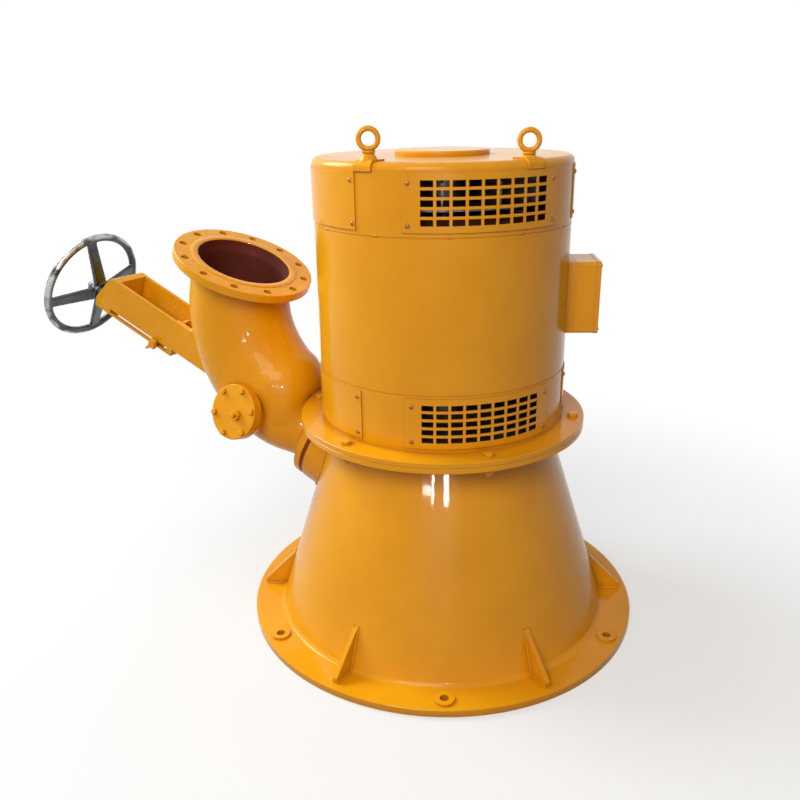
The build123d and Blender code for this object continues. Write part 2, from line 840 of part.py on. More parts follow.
def yoke_web():
    """Thin web with an arched top across the trough, just before the gland."""
    inner_half = yoke_half_width - yoke_plate_thickness / 2
    height = yoke_web_top - yoke_pocket_floor + yoke_web_thickness
    box = Pos(yoke_pocket_floor - yoke_web_thickness, 0, yoke_root_station) * Box(
        height, 2 * inner_half, yoke_web_thickness, align=(Align.MIN, Align.CENTER, Align.MIN))
    middle = yoke_web_top - yoke_web_arch_radius
    last = yoke_root_station + yoke_web_thickness
    return box & (Pos(middle, 0, 0) * along(yoke_web_arch_radius, yoke_root_station, last))


def yoke():
    """Cast bracket: a root on the elbow, two slotted side plates and a leaning end wall."""
    inner_half = yoke_half_width - yoke_plate_thickness
    body = yoke_casting()
    trough_end = yoke_end_station - yoke_lean_reach - yoke_end_thickness
    reach = yoke_high + overrun
    trough = Box(2 * reach, 2 * inner_half, trough_end - yoke_root_station,
                 align=(Align.CENTER, Align.CENTER, Align.MIN))
    body -= Pos(0, 0, yoke_root_station) * trough
    body -= yoke_pocket()
    body += yoke_web()
    slot_length = yoke_slot_last_station - yoke_slot_first_station
    slot = Box(yoke_slot_high - yoke_slot_low, 2 * yoke_half_width + 2 * overrun, slot_length,
               align=(Align.MIN, Align.CENTER, Align.MIN))
    body -= Pos(yoke_slot_low, 0, yoke_slot_first_station) * slot
    body += along(end_boss_radius, yoke_end_station - yoke_end_thickness, yoke_end_station + end_boss_length)
    body -= along(rod_radius + running_gap, yoke_start_station - overrun, yoke_root_station + overrun)
    body -= along(screw_radius + running_gap, yoke_root_station, yoke_end_station + overrun)
    pieces = body.solids().sort_by(SortBy.VOLUME)
    return on_nozzle(pieces[-1])


def gland_follower():
    first = yoke_root_station
    plate = Pos(0, 0, first) * Box(gland_height, gland_width, gland_thickness,
                                   align=(Align.CENTER, Align.CENTER, Align.MIN))
    plate = fillet(plate.edges().filter_by(Axis.Z), gland_height / 2 - seat_gap)
    last = first + gland_thickness + gland_nose_length
    body = plate + along(gland_nose_radius, first, last)
    body -= along(rod_radius + running_gap, first - overrun, last + overrun)
    for side in (-1, 1):
        place = Pos(0, side * gland_stud_spacing / 2, first)
        body += place * pipe(gland_stud_radius, gland_stud_length)
    return on_nozzle(body)


def needle_rod():
    """Hollow-ended rod with the needle on its foot."""
    taper_station = nozzle_mouth_station + needle_cone_length
    slope = (boss_bore_radius - nozzle_pipe_wall - nozzle_mouth_radius) / nozzle_taper_length
    head_station = nozzle_mouth_station + (needle_head_radius - nozzle_mouth_radius) / slope
    head_station += needle_shoulder_setback
    points = [
        (0, crosshead_station),
        (0, nozzle_mouth_station - needle_head_length / 2),
        (nozzle_mouth_radius - needle_mouth_gap, nozzle_mouth_station),
        (needle_head_radius, head_station),
        (needle_head_radius, taper_station),
        (rod_radius, taper_station + needle_head_length),
        (rod_radius, crosshead_station),
    ]
    body = spin(points)
    body -= along(rod_bore_radius, crosshead_station - rod_bore_depth, crosshead_station + overrun)
    return on_nozzle(body)


def crosshead():
    """Block that rides on the screw, with a pointer through the yoke's slot."""
    middle_high = (crosshead_low + crosshead_high) / 2
    last = crosshead_station + crosshead_length
    slot_middle = (yoke_slot_low + yoke_slot_high) / 2
    block = Pos(middle_high, 0, crosshead_station) * Box(
        crosshead_high - crosshead_low, 2 * crosshead_half_width, crosshead_length,
        align=(Align.CENTER, Align.CENTER, Align.MIN))
    reach = yoke_half_width + pointer_gap
    middle = crosshead_station + crosshead_length / 2
    arm = Pos(slot_middle, -reach / 2, middle) * Box(pointer_height, reach, pointer_length)
    head_height = pointer_block_high - pointer_block_low
    head = Pos(pointer_block_low, -reach, middle) * Box(
        head_height, pointer_block_depth, pointer_block_length,
        align=(Align.MIN, Align.MAX, Align.CENTER))
    corner = middle + pointer_block_length / 2
    tip = corner + pointer_finger_reach
    foot = pointer_block_low - pointer_finger_drop
    outline = Polyline(
        (pointer_block_low, middle),
        (pointer_block_low + pointer_finger_depth, corner),
        (foot + pointer_finger_tip, tip),
        (foot, tip - pointer_finger_tip),
        close=True,
    )
    finger = extrude(make_face(Plane.XZ * outline), pointer_finger_depth / 2, both=True)
    body = block + arm + head + Pos(0, -reach - pointer_block_depth / 2, 0) * finger
    body -= along(screw_radius + running_gap, crosshead_station - overrun, last + overrun)
    return on_nozzle(body)


def wheel_screw():
    return on_nozzle(along(screw_radius, screw_foot_station, wheel_hub_head_station))


def spoke():
    """One flat dished spoke between hub and rim, in the wheel's own frame."""
    rim_middle = wheel_radius - wheel_rim_radius
    inner = wheel_hub_radius / 2
    half = wheel_spoke_thickness / 2
    outline = Polyline(
        (inner, wheel_spoke_foot_station - half),
        (wheel_hub_radius, wheel_spoke_foot_station - half),
        (rim_middle, wheel_station - half),
        (rim_middle, wheel_station + half),
        (wheel_hub_radius, wheel_spoke_foot_station + half),
        (inner, wheel_spoke_foot_station + half),
        close=True,
    )
    web = extrude(make_face(Plane.XZ * outline), wheel_spoke_width_hub, both=True)
    plan = Polyline(
        (inner, -wheel_spoke_width_hub / 2),
        (rim_middle, -wheel_spoke_width_rim / 2),
        (rim_middle, wheel_spoke_width_rim / 2),
        (inner, wheel_spoke_width_hub / 2),
        close=True,
    )
    column = extrude(make_face(plan), wheel_station - wheel_spoke_foot_station + 2 * overrun)
    return web & Pos(0, 0, wheel_spoke_foot_station - overrun) * column


def handwheel():
    rim_middle = wheel_radius - wheel_rim_radius
    body = Pos(0, 0, wheel_station) * Torus(rim_middle, wheel_rim_radius)
    body += along(wheel_hub_radius, wheel_hub_foot_station, wheel_hub_head_station)
    for index in range(wheel_spoke_count):
        body += Rot(0, 0, wheel_spoke_phase + index * full_turn / wheel_spoke_count) * spoke()
    body -= along(screw_radius, wheel_hub_foot_station - overrun, wheel_hub_head_station + overrun)
    return on_nozzle(body)


def hub_nut():
    first = wheel_hub_head_station
    nut = extrude(RegularPolygon(hub_nut_radius, hub_nut_sides), hub_nut_height)
    body = Pos(0, 0, first) * nut
    dome_foot = first + hub_nut_height
    flat_radius = hub_nut_radius * cos(radians(full_turn / 2 / hub_nut_sides))
    dome = Cone(flat_radius, screw_radius, hub_dome_height,
                align=(Align.CENTER, Align.CENTER, Align.MIN))
    return on_nozzle(body + Pos(0, 0, dome_foot) * dome)


def main():
    os.makedirs("parts", exist_ok=True)
    save(foundation_ring(), "foundation_ring")
    save(housing_cone(), "housing_cone")
    save(foundation_ribs(), "foundation_ribs")
    save(joint_flange(cone_top_z, housing_flange_thickness, housing_flange_bore_radius), "housing_flange")
    generator_flange_z = cone_top_z + housing_flange_thickness
    save(joint_flange(generator_flange_z, generator_flange_thickness, shaft_radius + seat_gap),
         "generator_flange")
    lower_vents = (lower_vent_foot_z, lower_vent_top_z)
    upper_vents = (upper_vent_foot_z, upper_vent_top_z)
    groove_low = casing_groove(lower_band_top_z - band_groove_height)
    groove_high = casing_groove(upper_band_foot_z - band_groove_height)
    save(casing_band(casing_foot_z, lower_band_top_z, lower_vents) - groove_low, "casing_lower")
    save(casing_band(lower_band_top_z, upper_band_foot_z, None) - groove_high, "casing_middle")
    save(casing_band(upper_band_foot_z, casing_top_z, upper_vents), "casing_upper")
    save(top_cover(), "top_cover")
    save(centre_cover(), "centre_cover")
    for side, azimuth in eye_azimuths.items():
        save(lifting_eye(azimuth, eye_pedestal_heights[side]), f"lifting_eye_{side}")
    places = ("front", "right", "back", "left")
    for index, place in enumerate(places):
        azimuth = vent_first_azimuth + index * full_turn / len(places)
        open_cells = index % 2 == 0
        kind = "grille" if open_cells else "blank"
        save(vent_plate(azimuth, *upper_vents, open_cells), f"upper_{kind}_{place}")
        save(vent_plate(azimuth, *lower_vents, open_cells), f"lower_{kind}_{place}")
    save(stator_core(), "stator_core")
    save(windings(), "windings")
    save(stator_ribs(), "stator_ribs")
    save(main_shaft(), "main_shaft")
    save(lower_bearing(), "lower_bearing")
    save(cooling_fan(), "cooling_fan")
    save(rotor(), "rotor")
    save(runner(), "runner")
    save(terminal_neck(), "terminal_neck")
    save(terminal_box(), "terminal_box")
    save(terminal_lid(), "terminal_lid")
    save(nozzle_boss(), "nozzle_boss")
    save(nozzle_pipe(), "nozzle_pipe")
    save(spacer_ring(), "spacer_ring")
    save(outlet_flange(), "outlet_flange")
    save(elbow_body(), "elbow_body")
    save(inlet_flange(), "inlet_flange")
    save(cover_pad(), "cover_pad")
    save(inspection_cover(), "inspection_cover")
    save(yoke(), "yoke")
    save(gland_follower(), "gland_follower")
    save(needle_rod(), "needle_rod")
    save(crosshead(), "crosshead")
    save(wheel_screw(), "wheel_screw")
    save(handwheel(), "handwheel")
    save(hub_nut(), "hub_nut")


main()
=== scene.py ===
# %% [markdown]
# # A small hydroelectric generator
#
# The machine is a vertical micro hydro set: a welded cone with a water jet inside,
# a generator in a round casing on top of it, and on the left a cast elbow that brings
# the water down to a nozzle, with a handwheel that sets the nozzle's needle.
# The solids come from the CAD model, so this script doesn't build them again.
# It adds what gives the machine its looks: enamel, bolts, welds, the thread, the
# cast handwheel and the light.

# %% Load the frame
import bpy
import bmesh
from math import atan, atan2, cos, hypot, pi, radians, sin, tan
from mathutils import Matrix, Vector


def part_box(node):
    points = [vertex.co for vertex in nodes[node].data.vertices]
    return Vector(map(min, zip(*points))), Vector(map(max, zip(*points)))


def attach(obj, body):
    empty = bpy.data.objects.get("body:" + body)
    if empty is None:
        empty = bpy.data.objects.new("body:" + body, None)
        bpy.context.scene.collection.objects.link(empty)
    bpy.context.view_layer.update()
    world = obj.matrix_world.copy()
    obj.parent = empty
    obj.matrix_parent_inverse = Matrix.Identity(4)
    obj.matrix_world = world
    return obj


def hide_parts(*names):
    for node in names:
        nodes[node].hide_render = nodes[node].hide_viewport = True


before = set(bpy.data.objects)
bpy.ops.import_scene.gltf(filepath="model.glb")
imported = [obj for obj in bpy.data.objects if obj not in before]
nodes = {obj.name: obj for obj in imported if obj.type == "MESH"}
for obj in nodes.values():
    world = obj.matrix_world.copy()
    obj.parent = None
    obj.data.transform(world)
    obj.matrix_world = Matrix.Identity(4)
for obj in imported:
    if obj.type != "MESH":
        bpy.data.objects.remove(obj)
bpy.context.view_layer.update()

# %% [markdown]
# ## Hands for the work
#
# Every piece below starts as a primitive and is shaped in edit mode. A few helpers
# keep that short: one lets go of everything, one takes a piece in hand, and one
# selects the faces, edges or points of the piece in hand that pass a test.

# %% Helpers for selecting and shaping
mm = 0.001
full_turn = 2 * pi


def let_go():
    """Back to object mode with nothing selected."""
    if bpy.context.object and bpy.context.object.mode != "OBJECT":
        bpy.ops.object.mode_set(mode="OBJECT")
    bpy.ops.object.select_all(action="DESELECT")


def take(piece):
    let_go()
    piece.select_set(True)
    bpy.context.view_layer.objects.active = piece
    return piece


def fresh(name):
    """Names the primitive that was just added."""
    piece = bpy.context.object
    piece.name = name
    piece.data.name = name
    return piece


def settle(piece):
    """Puts the piece's place, turn and size into its mesh."""
    take(piece)
    bpy.ops.object.transform_apply(location=True, rotation=True, scale=True)
    return piece


def pick(piece, kind, test):
    """Selects the faces, edges or verts of the piece in edit mode that pass a test."""
    modes = {"verts": "VERT", "edges": "EDGE", "faces": "FACE"}
    bpy.ops.mesh.select_mode(type=modes[kind])
    bpy.ops.mesh.select_all(action="DESELECT")
    mesh = bmesh.from_edit_mesh(piece.data)
    for part in getattr(mesh, kind):
        if test(part):
            part.select_set(True)
    mesh.select_flush_mode()
    bmesh.update_edit_mesh(piece.data)


def edit(piece):
    take(piece)
    bpy.ops.object.mode_set(mode="EDIT")
    return piece


def done():
    bpy.ops.object.mode_set(mode="OBJECT")


def pick_all():
    bpy.ops.mesh.select_all(action="SELECT")


def apply_modifier(piece, label, kind, **settings):
    """Gives the piece a modifier with these settings and applies it."""
    take(piece)
    modifier = piece.modifiers.new(label, kind)
    for key, value in settings.items():
        setattr(modifier, key, value)
    bpy.ops.object.modifier_apply(modifier=modifier.name)
    return piece


def soften(piece, width):
    """Rounds the sharp edges with a bevel."""
    return apply_modifier(piece, "soft_edges", "BEVEL", width=width, segments=2,
                          limit_method="ANGLE", angle_limit=radians(30))


def smooth(piece, angle=35):
    take(piece)
    bpy.ops.object.shade_smooth_by_angle(angle=radians(angle))
    return piece


def face_outwards(piece, merge=1e-5):
    """Merges the doubles and turns every face outwards."""
    edit(piece)
    pick_all()
    bpy.ops.mesh.remove_doubles(threshold=merge)
    bpy.ops.mesh.normals_make_consistent(inside=False)
    done()
    return piece


def join(name, pieces):
    let_go()
    for piece in pieces:
        piece.select_set(True)
    bpy.context.view_layer.objects.active = pieces[0]
    bpy.ops.object.join()
    return fresh(name)


def put_in_scene(name, data):
    thing = bpy.data.objects.new(name, data)
    bpy.context.scene.collection.objects.link(thing)
    return thing


def copy_to(piece, name, place):
    """A copy with its own mesh, placed by a matrix that goes into the mesh."""
    mesh = piece.data.copy()
    mesh.name = name
    mesh.transform(place)
    return put_in_scene(name, mesh)


def disc(name, sides, radius, height, foot):
    """Upright cylinder that stands at the height of its foot."""
    bpy.ops.mesh.primitive_cylinder_add(vertices=sides, radius=radius, depth=height,
                                        location=(0, 0, foot + height / 2))
    return settle(fresh(name))


def block(name, size, middle):
    bpy.ops.mesh.primitive_cube_add(size=1, location=middle)
    piece = fresh(name)
    piece.scale = size
    return settle(piece)


def top_faces(face):
    return face.normal.z > 0.9


def throw_away(piece):
    bpy.data.objects.remove(piece)


# %% [markdown]
# ## Places on the machine
#
# Two sets of directions place everything. Azimuths go round the machine from its
# front. The nozzle side has its own frame: `across` points up from the nozzle's axis,
# and the station is the distance along the axis towards the handwheel.

# %% Directions
def round_dir(azimuth):
    """Level direction at an azimuth in degrees, counted from the front to the right."""
    turn = radians(azimuth)
    return Vector((sin(turn), -cos(turn), 0))


jet_angle = radians(22.5)
nozzle_bearing = radians(27.5)
nozzle_offset = 78 * mm
nozzle_height = 296 * mm
inward = Vector((cos(nozzle_bearing), -sin(nozzle_bearing), 0))
near_side = Vector((-sin(nozzle_bearing), -cos(nozzle_bearing), 0))
straight_up = Vector((0, 0, 1))
nozzle_out = straight_up * sin(jet_angle) - inward * cos(jet_angle)
nozzle_up = straight_up * cos(jet_angle) + inward * sin(jet_angle)


def axes(x, y, z, origin):
    """Matrix that takes a piece modelled at the origin to these axes."""
    turned = Matrix((x, y, z)).transposed()
    return Matrix.Translation(origin) @ turned.to_4x4()


nozzle_start = near_side * nozzle_offset + straight_up * nozzle_height
nozzle_place = axes(nozzle_up, -near_side, nozzle_out, nozzle_start)


def standing_on(direction, origin, turn=0.0):
    """Matrix that stands a piece on a surface that faces a direction."""
    z = Vector(direction).normalized()
    side = straight_up if abs(z.z) < 0.9 else Vector((1, 0, 0))
    x = side.cross(z).normalized()
    return axes(x, z.cross(x), z, Vector(origin)) @ Matrix.Rotation(turn, 4, "Z")


def facing_out(azimuth, radius, height, turn=0.0):
    """Matrix that stands a piece on an upright round wall."""
    outward = round_dir(azimuth)
    return standing_on(outward, outward * radius + straight_up * height, turn)


print("nozzle axis:", [round(v, 3) for v in nozzle_out])

# %% [markdown]
# ## The camera
#
# The photograph is taken from a standing person's height, a little over two metres
# away and looking slightly down. The camera was fitted to the circles of the machine:
# base ring, flange, casing and inlet all have to fall on their ellipses.

# %% Camera
look_down = 0.3469
look_left = -0.0541
camera_roll = -0.0158
camera_place = Vector((0, -2.0893, 1.3558))
forward = Vector((
    sin(look_left) * cos(look_down),
    cos(look_left) * cos(look_down),
    -sin(look_down),
))
level_right = forward.cross(straight_up).normalized()
level_up = level_right.cross(forward)
right = level_right * cos(camera_roll) + level_up * sin(camera_roll)
over = level_up * cos(camera_roll) - level_right * sin(camera_roll)
camera_data = bpy.data.cameras.new("photo_camera")
camera_data.lens = 36.64
camera_data.sensor_width = 36
camera = put_in_scene("photo_camera", camera_data)
camera.matrix_world = axes(right, over, -forward, camera_place)
bpy.context.scene.camera = camera
bpy.context.scene.view_settings.view_transform = "Standard"
print("camera at", list(camera_place))

# %% [markdown]
# ## Shared effects for the finishes
#
# Paint never looks perfect. Three small node groups are used by several materials:
# one gives slow changes of tone, one gives the fine bumps of sprayed enamel over a
# surface that is a little wavy, and one finds the corners and paints shade and grime into them.

# %% Node helpers
node_step = 220


def add(tree, kind, **settings):
    """Adds a shader node and sets its properties, and its sockets with _ for a space."""
    node = tree.nodes.new("ShaderNode" + kind)
    node.location = (node_step * len(tree.nodes), 0)
    for key, value in settings.items():
        if hasattr(node, key):
            setattr(node, key, value)
        else:
            node.inputs[key.replace("_", " ")].default_value = value
    return node


def wire(tree, *runs):
    """Links an output to an input for each run of (node, output, node, input)."""
    for giver, output, taker, socket in runs:
        tree.links.new(giver.outputs[output], taker.inputs[socket])


def empty_nodes(owner):
    """The node tree of a material or a world, with nothing in it."""
    owner.use_nodes = True
    owner.node_tree.nodes.clear()
    return owner.node_tree


def new_group(name, inputs, outputs):
    group = bpy.data.node_groups.new(name, "ShaderNodeTree")
    for label, kind, value in inputs:
        socket = group.interface.new_socket(label, in_out="INPUT", socket_type=kind)
        socket.default_value = value
    for label, kind in outputs:
        group.interface.new_socket(label, in_out="OUTPUT", socket_type=kind)
    start, end = group.nodes.new("NodeGroupInput"), group.nodes.new("NodeGroupOutput")
    start.location, end.location = (0, -node_step), (node_step, -node_step)
    return group, start, end


FLOAT = "NodeSocketFloat"
COLOUR = "NodeSocketColor"

# %% Group: slow changes of tone
tone_group, start, end = new_group(
    "paint_tone",
    [("Light", COLOUR, (1, 1, 1, 1)), ("Deep", COLOUR, (0, 0, 0, 1)), ("Scale", FLOAT, 4.0)],
    [("Color", COLOUR), ("Mask", FLOAT)],
)
place = add(tone_group, "TexCoord")
clouds = add(tone_group, "TexNoise", Detail=5.0, Roughness=0.6)
spread = add(tone_group, "MapRange", From_Min=0.32, From_Max=0.68)
blend = add(tone_group, "Mix", data_type="RGBA")
wire(tone_group,
     (place, "Object", clouds, "Vector"), (start, "Scale", clouds, "Scale"),
     (clouds, "Fac", spread, "Value"), (spread, "Result", blend, "Factor"),
     (start, "Light", blend, "A"), (start, "Deep", blend, "B"),
     (blend, "Result", end, "Color"), (spread, "Result", end, "Mask"))

# %% Group: enamel skin
skin_group, start, end = new_group(
    "enamel_skin",
    [("Peel Scale", FLOAT, 300.0), ("Wave Scale", FLOAT, 9.0), ("Wave Share", FLOAT, 1.0)],
    [("Height", FLOAT)],
)
place = add(skin_group, "TexCoord")
peel = add(skin_group, "TexNoise", Detail=2.0)
waves = add(skin_group, "TexNoise", Detail=1.0)
larger = add(skin_group, "Math", operation="MULTIPLY")
total = add(skin_group, "Math", operation="ADD")
wire(skin_group,
     (place, "Object", peel, "Vector"), (place, "Object", waves, "Vector"),
     (start, "Peel Scale", peel, "Scale"), (start, "Wave Scale", waves, "Scale"),
     (waves, "Fac", larger, 0), (start, "Wave Share", larger, 1),
     (peel, "Fac", total, 0), (larger, "Value", total, 1),
     (total, "Value", end, "Height"))

# %% Group: painted shade and grime in the corners
corner_group, start, end = new_group(
    "corner_shade_and_grime",
    [("Reach", FLOAT, 0.02), ("Amount", FLOAT, 0.6)],
    [("Mask", FLOAT)],
)
# Ambient occlusion finds the corners, and the mask paints shade and grime into them.
closeness = add(corner_group, "AmbientOcclusion", samples=6)
dark = add(corner_group, "MapRange", From_Min=0.85, From_Max=0.25)
scaled = add(corner_group, "Math", operation="MULTIPLY")
wire(corner_group,
     (start, "Reach", closeness, "Distance"), (closeness, "AO", dark, "Value"),
     (dark, "Result", scaled, 0), (start, "Amount", scaled, 1),
     (scaled, "Value", end, "Mask"))
print("groups:", [group.name for group in bpy.data.node_groups])

# %% [markdown]
# ## Orange enamel
#
# The whole machine is sprayed with a thick, glossy, yellow-orange enamel. Gloss comes
# from a clear coat over a paint that is itself smooth. Sheet metal, welded plate and
# rough castings carry the same colour, but the bumps below the paint differ, so one
# function makes the three variants. A bevel node rounds the light on the CAD edges.

# %% Function that every finish starts from
def layered(name, light, deep, shade_and_grime, tone_scale, reach, shade_amount, skin_scales, gloss, height,
            **shader_values):
    """Finish with clouded colour, painted shade and grime in the corners, uneven gloss and fine
    bumps.
    """
    peel, wave, wave_share = skin_scales
    material = bpy.data.materials.new(name)
    tree = empty_nodes(material)
    shader = add(tree, "BsdfPrincipled", **shader_values)
    output = add(tree, "OutputMaterial")
    tone = add(tree, "Group", node_tree=tone_group,
               Light=(*light, 1), Deep=(*deep, 1), Scale=tone_scale)
    corner = add(tree, "Group", node_tree=corner_group,
                 Reach=reach, Amount=shade_amount)
    # Painted shade and grime: the corner mask darkens the colour towards the dark tone.
    shaded_corners = add(tree, "Mix", data_type="RGBA", B=(*shade_and_grime, 1))
    skin = add(tree, "Group", node_tree=skin_group,
               Peel_Scale=peel, Wave_Scale=wave, Wave_Share=wave_share)
    shine = add(tree, "MapRange", To_Min=gloss[0], To_Max=gloss[1])
    bump = add(tree, "Bump", Distance=height)
    wire(tree,
         (tone, "Color", shaded_corners, "A"), (corner, "Mask", shaded_corners, "Factor"),
         (shaded_corners, "Result", shader, "Base Color"), (tone, "Mask", shine, "Value"),
         (shine, "Result", shader, "Roughness"), (skin, "Height", bump, "Height"),
         (bump, "Normal", shader, "Normal"), (shader, "BSDF", output, "Surface"))
    return material, bump


# %% Function for painted metal
paint_cloud_scale = 5.0
# How strongly the corners are darkened by painted shade and grime.
paint_corner_shade = 0.55
coat_roughness = 0.04
paint_shine = 0.08


def painted(name, light, deep, shade_and_grime, peel=320.0, wave=8.0, wave_share=1.5, height=0.35 * mm,
            gloss=(0.16, 0.27), coat=0.26, edge=1.2 * mm, reach=30 * mm):
    """Enamel: a clear coat over paint, with the light rounded on every edge."""
    material, bump = layered(
        name, light, deep, shade_and_grime, paint_cloud_scale, reach, paint_corner_shade,
        (peel, wave, wave_share), gloss, height, Specular_IOR_Level=paint_shine,
        Coat_Weight=coat, Coat_Roughness=coat_roughness)
    tree = material.node_tree
    rounded = add(tree, "Bevel", samples=4, Radius=edge)
    wire(tree, (rounded, "Normal", bump, "Normal"))
    return material


# %% The painted finishes
orange = (0.82, 0.415, 0.008)
deep_orange = (0.76, 0.36, 0.007)
# Dark orange for the painted shade and grime in the corners.
orange_shade_and_grime = (0.27, 0.085, 0.006)
enamel = (orange, deep_orange, orange_shade_and_grime)
sheet_enamel = painted("sheet_enamel", *enamel, wave=7.0, wave_share=2.5)
plate_enamel = painted("plate_enamel", *enamel, wave=14.0, wave_share=1.8, height=0.5 * mm)
cast_enamel = painted("cast_enamel", *enamel, peel=140.0, wave=30.0, wave_share=1.2,
                      height=1.1 * mm, gloss=(0.2, 0.34), coat=0.2, edge=2.5 * mm)
spacer_paint = painted("spacer_paint", (0.29, 0.045, 0.012), (0.2, 0.026, 0.008),
                       (0.05, 0.01, 0.004), peel=220.0, gloss=(0.3, 0.5), coat=0.08)
# Its long corner reach paints shade deep into the bore.
bore_paint = painted("bore_paint", (0.15, 0.038, 0.034), (0.10, 0.026, 0.026),
                     (0.02, 0.006, 0.006), peel=160.0, wave=24.0, height=0.8 * mm,
                     gloss=(0.4, 0.6), coat=0.05, reach=80 * mm)
varnish = painted("winding_varnish", (0.10, 0.03, 0.014), (0.06, 0.018, 0.01), (0.02, 0.006, 0.005))
print("painted:", sheet_enamel.name, plate_enamel.name, cast_enamel.name)

# %% [markdown]
# ## Bare metal
#
# The handwheel is grey cast iron that hands have rubbed bright, the screw and rod are
# turned steel, and the small screws are plated and carry some overspray. Each mixes a
# dull and a bright tone, so the metal has patches and isn't one even grey.

# %% Function for metals
# Near black for the painted shade and grime in the metals' corners, with its reach and strength.
metal_shade_and_grime = (0.022, 0.021, 0.02)
metal_shade_reach = 12 * mm
metal_corner_shade = 0.7
metal_wave = 60.0


def metal(name, dull, bright, roughness, scale, metallic=0.9, bump_height=0.3 * mm, grain=400.0):
    return layered(name, bright, dull, metal_shade_and_grime, scale, metal_shade_reach, metal_corner_shade,
                   (grain, metal_wave, 1.0), roughness, bump_height, Metallic=metallic)[0]


# %% The bare metals
wheel_iron = metal("wheel_iron", (0.05, 0.056, 0.062), (0.12, 0.13, 0.14), (0.16, 0.30), 14.0,
                   metallic=1.0, bump_height=0.25 * mm, grain=160.0)
hub_steel = metal("hub_steel", (0.16, 0.18, 0.22), (0.34, 0.37, 0.42), (0.25, 0.4), 60.0)
bright_steel = metal("bright_steel", (0.32, 0.31, 0.30), (0.58, 0.57, 0.56), (0.2, 0.35), 40.0)
plated_screw = metal("plated_screw", (0.26, 0.10, 0.025), (0.42, 0.20, 0.06), (0.3, 0.5), 90.0,
                     metallic=0.4)
core_steel = metal("core_steel", (0.10, 0.095, 0.09), (0.2, 0.19, 0.18), (0.4, 0.6), 30.0)
runner_bronze = metal("runner_bronze", (0.36, 0.24, 0.10), (0.55, 0.40, 0.19), (0.3, 0.5), 30.0)
print("metals:", wheel_iron.name, hub_steel.name, bright_steel.name)

# %% [markdown]
# Hands have polished the outside of the handwheel's rim. The distance from the wheel's
# axis tells where that is, because it stays the same when the wheel turns. Patches of
# noise break the polish up, and the worn iron is paler.

# %% Worn rim of the handwheel
polish_start = 168 * mm
polish_full = 177 * mm
tree = wheel_iron.node_tree
shader = next(node for node in tree.nodes if node.type == "BSDF_PRINCIPLED")
seat = add(tree, "TexCoord")
from_axis = add(tree, "VectorMath", operation="SUBTRACT")
from_axis.inputs[1].default_value = nozzle_start
along = add(tree, "VectorMath", operation="DOT_PRODUCT")
along.inputs[1].default_value = nozzle_out
axis_part = add(tree, "VectorMath", operation="SCALE")
axis_part.inputs[0].default_value = nozzle_out
sideways = add(tree, "VectorMath", operation="SUBTRACT")
reach = add(tree, "VectorMath", operation="LENGTH")
outer_rim = add(tree, "MapRange", interpolation_type="SMOOTHSTEP",
                From_Min=polish_start, From_Max=polish_full)
patches = add(tree, "TexNoise", Scale=22.0, Detail=4.0)
patch_edge = add(tree, "MapRange", From_Min=0.40, From_Max=0.56)
worn = add(tree, "Math", operation="MULTIPLY")
polished = add(tree, "Mix", data_type="RGBA", B=(0.50, 0.51, 0.52, 1))
tree.links.new(shader.inputs["Base Color"].links[0].from_socket, polished.inputs["A"])
wire(tree,
     (seat, "Object", from_axis, 0), (from_axis, "Vector", along, 0),
     (along, "Value", axis_part, "Scale"), (from_axis, "Vector", sideways, 0),
     (axis_part, "Vector", sideways, 1), (sideways, "Vector", reach, 0),
     (reach, "Value", outer_rim, "Value"), (seat, "Object", patches, "Vector"),
     (patches, "Fac", patch_edge, "Value"), (outer_rim, "Result", worn, 0),
     (patch_edge, "Result", worn, 1), (worn, "Value", polished, "Factor"),
     (polished, "Result", shader, "Base Color"))
print("worn rim on", wheel_iron.name)

# %% Give the CAD nodes their finishes
finishes = (
    (cast_enamel, ("elbow_body", "inlet_flange", "outlet_flange", "cover_pad", "inspection_cover",
                   "yoke", "gland_follower", "crosshead", "nozzle_boss", "lifting_eye_left",
                   "lifting_eye_right")),
    (plate_enamel, ("foundation_ring", "housing_cone", "foundation_ribs", "housing_flange",
                    "generator_flange", "nozzle_pipe")),
    (core_steel, ("cooling_fan", "lower_bearing", "stator_core", "rotor")),
    (bright_steel, ("main_shaft", "needle_rod", "wheel_screw")),
    (spacer_paint, ("spacer_ring",)), (varnish, ("windings",)), (runner_bronze, ("runner",)),
    (hub_steel, ("hub_nut",)), (wheel_iron, ("handwheel",)),
)
finish_of = {name: finish for finish, names in finishes for name in names}
for name, node in nodes.items():
    for place in node.material_slots:
        place.material = finish_of.get(name, sheet_enamel)
print("finished nodes:", len(nodes))

# %% [markdown]
# ## The handwheel
#
# The real handwheel is one iron casting. Its four arms run into the rim and the hub
# with generous fillets, which separate solids can't show. So the rim is a torus, the
# arms are bars that are bent in steps from the low hub up to the rim, and the joined
# lot is remeshed and smoothed, which rounds every corner like sand casting does.

# %% Handwheel casting
rim_height = 1360 * mm
hub_low = 1288 * mm
hub_high = 1346 * mm
arm_height = 1322 * mm
rim_middle = 169.8 * mm
rim_wire = 12.2 * mm
hub_radius = 29 * mm
hub_edge = 4 * mm
hub_dish = 2 * mm
arm_count = 4
arm_phase = radians(-11)
arm_root = 14 * mm
arm_width = 44 * mm
arm_thickness = 14 * mm
arm_bends = 7
arm_taper_share = 0.955
cast_grain = 2.4 * mm


